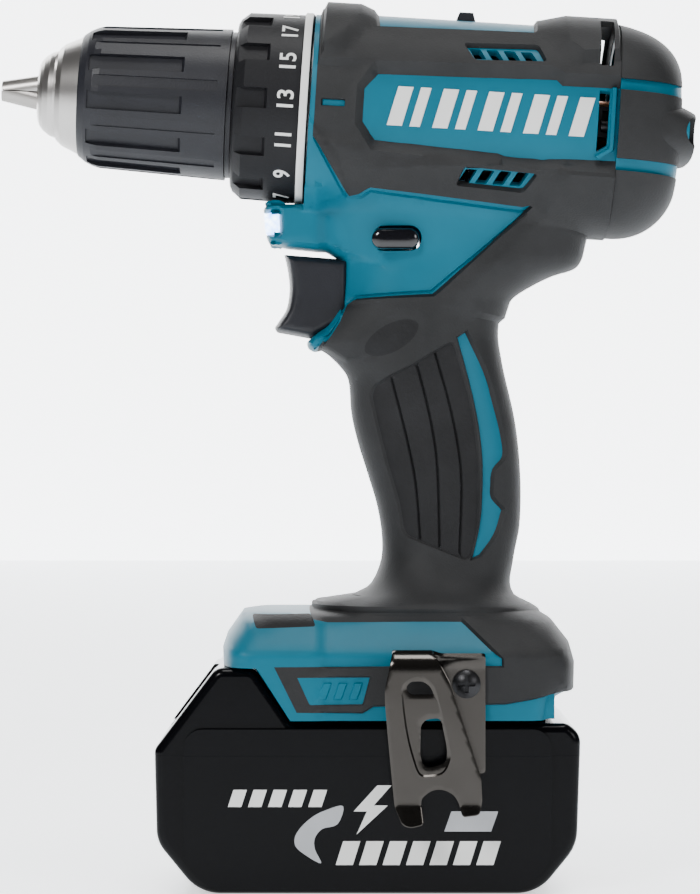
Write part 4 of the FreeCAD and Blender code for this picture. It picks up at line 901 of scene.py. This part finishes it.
def closed_solid(front, back, faces):
    """Solid between two sheets of points with the same faces; they join where points meet."""
    count = len(front)
    meet = np.linalg.norm(front - back, axis=1) < 1e-5
    low = np.where(meet, np.arange(count), np.arange(count) + count)
    edges, rim = rim_edges(faces)
    all_faces = [tuple(f) for f in faces.tolist()]
    all_faces += [tuple(f) for f in low[faces[:, ::-1]].tolist()]
    for i, j in edges[rim].tolist():
        wall = [j, i, int(low[i]), int(low[j])]
        wall = [v for k, v in enumerate(wall) if v not in wall[:k]]
        if len(wall) > 2:
            all_faces.append(tuple(wall))
    points = np.concatenate([front, back])
    used = np.unique([v for f in all_faces for v in f])
    renumber = np.full(len(points), -1)
    renumber[used] = np.arange(len(used))
    return points[used], [tuple(int(renumber[v]) for v in f) for f in all_faces]


def pillow(name, outline, front, back, reach, power, paint, mirror=False):
    """Solid with a rounded rim: `front` and `back` are its half widths at full depth."""
    outline = divided(outline, 0.8)
    loops = [divided(offset(outline, d), 0.8) for d in (0.03, 0.12, 0.3, 0.6, 1.0, 1.5, 2.2)
             if d <= reach]
    flat, faces = region(outline, loops)
    rounding = edge_round(distance_to(flat, outline), reach, power)
    if back < 0:
        near, far = front * rounding, back * rounding
    else:
        near, far = front - reach * 0.6 * (1 - rounding), np.full(len(flat), float(back))
    sheets = [np.column_stack([flat[:, 0], -y, flat[:, 1]]) for y in (near, far)]
    points, all_faces = closed_solid(sheets[0], sheets[1], faces)
    return make_mesh(name, points, all_faces, paint, mirror=mirror)


def printed(name, outlines, half, lift, paint):
    """Flat graphic, a thin film on a flat side of the battery."""
    points, all_faces = [], []
    for outline in outlines:
        flat, faces = region(divided(outline, 1.5), [], spacing=2.0)
        sheets = [np.column_stack([flat[:, 0], np.full(len(flat), -y), flat[:, 1]])
                  for y in (half + lift, half - 0.05)]
        some, found = closed_solid(sheets[0], sheets[1], faces)
        start = sum(len(p) for p in points)
        points.append(some)
        all_faces += [tuple(v + start for v in f) for f in found]
    return make_mesh(name, np.concatenate(points), all_faces, paint)


def turned_band(name, profile, paint, steps=120):
    """Closed ring round the barrel's axis, from a closed (a, radius) profile."""
    points, faces = [], []
    count = len(profile)
    for i in range(steps):
        angle = 2 * math.pi * i / steps
        for a, radius in profile:
            points.append(on_axis(a, radius, angle))
        for k in range(count):
            k2, i2 = (k + 1) % count, (i + 1) % steps
            faces.append((i * count + k, i * count + k2, i2 * count + k2, i2 * count + k))
    return make_mesh(name, points, faces, paint)


def on_axis(a, radius, angle):
    """Point at an angle round the barrel's axis, 0 towards the camera's side and then up."""
    h, y = radius * math.sin(angle), -radius * math.cos(angle)
    return (a * COS + h * SIN, y, AXIS_HEIGHT - a * SIN + h * COS)


# ---------------------------------------------------------------- torque ring
DIAL_STEP = 12.0                # degrees between settings
DIAL_LAST = 21                  # highest number
DIAL_SIDE = 13                  # number that faces the side at rest
DIAL_REST = -0.5                # how far it is turned past the side, in degrees
DRILL_MARK = 22.6               # the drill mark's place, counted in settings


def dial_angle(setting):
    return math.radians(DIAL_REST + (setting - DIAL_SIDE) * DIAL_STEP)


def make_dial():
    profile = [(-18.55, 26.3), (-18.5, 26.9), (-18.3, 27.02), (-16.7, 27.02), (-16.45, 26.9),
               (-16.4, 26.3)]
    band = turned_band("dial_band", profile, "white")
    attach(band, "torque_ring")
    for number in range(1, DIAL_LAST + 1, 2):
        digits = wrapped_number("dial_%02d" % number, str(number), -20.3, dial_angle(number))
        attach(digits, "torque_ring")
    arrow = [(-24.8, -0.9), (-22.2, -0.9), (-20.4, 0.0), (-22.2, 0.9), (-24.8, 0.9)]
    mark = wrapped_outline("dial_drill_mark", arrow, dial_angle(DRILL_MARK))
    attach(mark, "torque_ring")


def ring_radius(a):
    return np.interp(a, [-34.0, -20.0, -18.8], [26.0, 26.3, 26.3])


def wrapped_outline(name, outline, angle):
    flat, faces = region(divided(outline, 0.6), [], spacing=0.8)
    radius = ring_radius(flat[:, 0])
    sheets = []
    for lift in (0.1, -0.1):
        sheets.append(np.array([on_axis(a, r + lift, angle + w / r)
                                for (a, w), r in zip(flat, radius)]))
    points, all_faces = closed_solid(sheets[0], sheets[1], faces)
    return make_mesh(name, points, all_faces, "white")


def wrapped_number(name, text, foot, angle):
    """Number on the dial, its foot towards the body and read upwards."""
    curve = bpy.data.curves.new(name, "FONT")
    curve.body = text
    curve.size = 6.3
    curve.extrude = 0.1
    curve.offset = 0.09
    curve.resolution_u = 4
    curve.align_x = "CENTER"
    source = bpy.data.objects.new(name + "_source", curve)
    bpy.context.collection.objects.link(source)
    bpy.context.view_layer.update()
    evaluated = source.evaluated_get(bpy.context.evaluated_depsgraph_get())
    mesh = evaluated.to_mesh()
    flat = [tuple(v.co) for v in mesh.vertices]
    faces = [tuple(p.vertices) for p in mesh.polygons]
    evaluated.to_mesh_clear()
    bpy.data.objects.remove(source)
    points = []
    for across, up, out in flat:
        a = foot - up
        radius = float(ring_radius(a)) + out
        points.append(on_axis(a, radius, angle + across / radius))
    return make_mesh(name, points, faces, "white")


# ---------------------------------------------------------------- controls
TRIGGER = [(-23.2, 174.4), (-22.2, 170.0), (-21.7, 164.7), (-22.5, 159.3), (-24.6, 155.8),
           (-25.9, 153.9), (-25.2, 152.6), (-16.0, 150.9), (-14.6, 150.7), (-4.8, 156.0),
           (-4.8, 173.0), (-8.0, 173.2)]


def make_controls():
    front = flowing(TRIGGER[:6], 5)
    outline = np.concatenate([front[:-1], soften(TRIGGER[5:] + [TRIGGER[0]], 0.8)[2:-2]])
    blade = pillow("trigger_blade", outline, 8.0, -8.0, 2.3, 2.2, "black")
    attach(blade, "trigger")
    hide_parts("trigger")
    for side, mirror in (("left", False), ("right", True)):
        button = pillow(side + "_direction_button", pill(1.2, 14.2, 175.0, 180.6, 14), 20.9, 9.0,
                        2.2, 2.0, "gloss", mirror)
        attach(button, "reversing_lever")
        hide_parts("reversing_lever")


def make_bay_liner():
    """Underside of the foot, with the channel that the battery's tower slides along."""
    section = [(-34.6, 47.3), (-27.3, 47.3), (-27.3, 59.9), (27.3, 59.9), (27.3, 47.3),
               (34.6, 47.3), (34.6, 61.6), (-34.6, 61.6)]
    count = len(section)
    points = [(x, y, z) for x in (-19.6, 50.4) for y, z in section]
    faces = [tuple(range(count - 1, -1, -1)), tuple(range(count, 2 * count))]
    faces += [(k, (k + 1) % count, (k + 1) % count + count, k + count) for k in range(count)]
    faces = [tuple(reversed(f)) for f in faces]
    liner = make_mesh("bay_liner", points, faces, "teal")
    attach(liner, "drill_body")


# ---------------------------------------------------------------- belt clip
CLIP_BEND, CLIP_BEND_R = 61.2, 4.55        # height and radius of the bend over the top
CLIP_MIDDLE = -42.7                        # depth of the bend's centre
CLIP_HALF = 0.65                           # half thickness of the sheet
FLARE_TOP, FLARE_SLOPE = 25.0, 0.28        # below this height the feet lean outwards
CLIP_OUTLINE = [
    (9.1, 20.2), (11.2, 19.4), (14.8, 20.2), (14.1, 25.5), (14.3, 27.2), (16.6, 29.1),
    (18.6, 29.6), (20.7, 29.3), (23.0, 28.0), (24.3, 25.6), (25.1, 22.2), (29.7, 22.8),
    (30.4, 26.6), (30.1, 32.7), (21.9, 57.9), (19.4, 62.6), (17.2, 66.0), (17.4, 69.6),
    (19.5, 71.2), (31.6, 71.2), (31.6, 103.7), (24.5, 103.7), (20.6, 90.0), (19.6, 79.6),
    (6.9, 77.4), (6.7, 72.0), (6.5, 66.0),
    (5.6, 61.0), (4.5, 56.1), (4.5, 53.0), (5.2, 44.4), (6.2, 33.8), (7.1, 24.9)]
CLIP_EMBOSS = [(9.1, 57.2), (11.2, 59.0), (14.1, 59.7), (16.2, 58.6), (18.0, 56.1), (19.8, 49.4),
               (21.9, 39.8), (21.5, 36.2), (19.8, 33.7), (16.6, 33.0), (13.7, 33.4), (12.0, 37.3),
               (10.2, 44.4), (9.0, 53.3)]
CLIP_SLOT = [(10.2, 56.9), (11.4, 58.2), (14.6, 58.3), (16.5, 57.0), (17.6, 54.8), (11.6, 54.8),
             (10.5, 55.6)]
CLIP_WINDOW = [(14.1, 46.6), (15.5, 48.2), (19.4, 48.6), (21.1, 40.2), (20.9, 36.6), (16.2, 35.2),
               (14.5, 36.3), (13.9, 39.1)]


def clip_place(distance):
    """Depth and height of the clip's middle layer at a distance along it, and its slope."""
    turn = np.clip((distance - CLIP_BEND) / CLIP_BEND_R, 0, math.pi)
    depth = CLIP_MIDDLE - CLIP_BEND_R * np.cos(turn)
    height = np.where(distance < CLIP_BEND, distance, CLIP_BEND + CLIP_BEND_R * np.sin(turn))
    past = np.maximum(distance - CLIP_BEND - math.pi * CLIP_BEND_R, 0)
    flare = np.maximum(FLARE_TOP - distance, 0)
    return depth - FLARE_SLOPE * flare, height - past, turn


def make_clip():
    outline = divided(soften(CLIP_OUTLINE, 1.0), 1.0)
    emboss = Step(flowing(CLIP_EMBOSS, 4, closed=True), 0.55, ramp=0.5)
    holes = [divided(soften(CLIP_SLOT, 0.9), 0.8), divided(soften(CLIP_WINDOW, 1.6), 0.8)]
    flat, faces = region(outline, emboss.loops() + [divided(offset(outline, 0.25), 1.0)], holes)
    depth, height, turn = clip_place(flat[:, 1])
    rim = edge_round(np.minimum.reduce([distance_to(flat, c) for c in [outline] + holes]), 0.3, 2.0)
    level = emboss.apply(flat, np.zeros(len(flat)))
    sheets = []
    for side in (1, -1):
        away = side * (CLIP_HALF - 0.15 * (1 - rim)) - level * 0.8
        sheets.append(np.column_stack([flat[:, 0], depth - away * np.cos(turn),
                                       height + away * np.sin(turn)]))
    points, all_faces = closed_solid(sheets[0], sheets[1], faces)
    clip = make_mesh("sprung_clip", points, all_faces, "clip")
    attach(clip, "drill_body")
    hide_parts("belt_clip")


# ---------------------------------------------------------------- battery graphics
CRESCENT = [(-12.6, 8.6), (-18.2, 11.9), (-19.7, 14.4), (-18.7, 17.4), (-15.2, 20.9), (-11.1, 23.0),
            (-6.6, 24.0), (-8.1, 19.2), (-12.2, 17.9), (-14.2, 15.4), (-14.2, 12.4)]
BOLT = [(2.6, 29.6), (-3.8, 22.6), (-0.2, 22.6), (-3.0, 16.4), (5.4, 24.2), (1.6, 24.2),
        (6.4, 29.6)]
FLAT_SIDE = 37.1                # half width of the battery's flat sides


def slanted(x, z, width, height, slant):
    return [(x, z), (x + width, z), (x + width + slant, z + height), (x + slant, z + height)]


def make_battery_graphics():
    bars = [slanted(-37.6 + 5.4 * i, 23.8, 3.6, 4.6, 1.5) for i in range(5)]
    bars += [slanted(-8.6 + 6.3 * i, 8.2, 4.6, 6.4, 2.0) for i in range(7)]
    crescent = flowing(CRESCENT, 4, closed=True)
    silver_bar = slanted(20.6, 17.2, 12.6, 5.4, 1.9)
    pieces = [printed("white_bars", bars, FLAT_SIDE, 0.12, "white"),
              printed("bolt", [BOLT], FLAT_SIDE, 0.12, "white"),
              printed("crescent", [crescent], FLAT_SIDE, 0.1, "silver"),
              printed("silver_bar", [silver_bar], FLAT_SIDE, 0.1, "silver")]
    for piece in pieces:
        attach(piece, "battery")


# ---------------------------------------------------------------- carried-over CAD nodes
CAD_PAINT = {
    "teal": ["rear_cover"],
    "rubber": ["rear_cover_overmould"],
    "alloy": ["gear_case"],
    "gear": ["held_ring_gears", "shift_ring_gear", "first_carrier", "second_carrier",
             "output_spindle", "spindle_bearing", "motor_shaft", "motor_bearings",
             "rotor_core", "motor_yoke", "clutch_spring", "clutch_nut", "chuck_body",
             "chuck_nut", "chuck_screw"],
    "steel": ["chuck_nose"],
    "jaw": ["chuck_jaw_1", "chuck_jaw_2", "chuck_jaw_3"],
    "clip": ["belt_clip"],
    "black": ["chuck_sleeve", "chuck_collar", "trigger", "switch_body", "terminal_block",
              "brush_holder", "cooling_fan", "speed_lever"],
    "ring": ["torque_ring"],
    "gloss": ["reversing_lever"],
    "case": ["battery_case", "battery_cover", "battery_latch"],
    "copper": ["rotor_windings", "commutator", "terminal_blades"],
    "ferrite": ["motor_magnets"],
    "screw": ["belt_clip_screw", "housing_screws"],
    "lens": ["led_lens"],
    "sheath": ["wiring_loom"],
    "wrap": ["battery_cells"],
    "board": ["battery_board"],
    "carbon": ["carbon_brushes"],
}


def paint_cad_nodes():
    paints = {node: paint for paint, nodes in CAD_PAINT.items() for node in nodes}
    for stage in ("first", "second", "third"):
        for i in range(3):
            paints[f"{stage}_planet_{i + 1}"] = "gear"
    for obj in list(bpy.context.scene.objects):
        node = obj.get("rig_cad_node")
        if obj.type == "MESH" and node in paints:
            obj.data.materials.clear()
            obj.data.materials.append(MATERIALS[paints[node]])
            obj.data.shade_smooth()
            obj.data.set_sharp_from_angle(angle=SHARP_ANGLE)


def make_clutch_coil():
    """Clutch spring as a fixed copy of the CAD spring's mesh, which is then hidden."""
    spring = next(o for o in bpy.context.scene.objects
                  if o.get("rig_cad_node") == "clutch_spring")
    coil = bpy.data.objects.new("clutch_coil", spring.data.copy())
    bpy.context.collection.objects.link(coil)
    coil.matrix_world = spring.matrix_world.copy()
    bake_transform(coil)
    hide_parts("clutch_spring")


make_camera()
make_studio()
make_materials()
make_backdrop()
make_floor()
paint_cad_nodes()
make_body()
make_bay_liner()
make_dial()
make_clutch_coil()
make_controls()
make_clip()
make_battery_graphics()
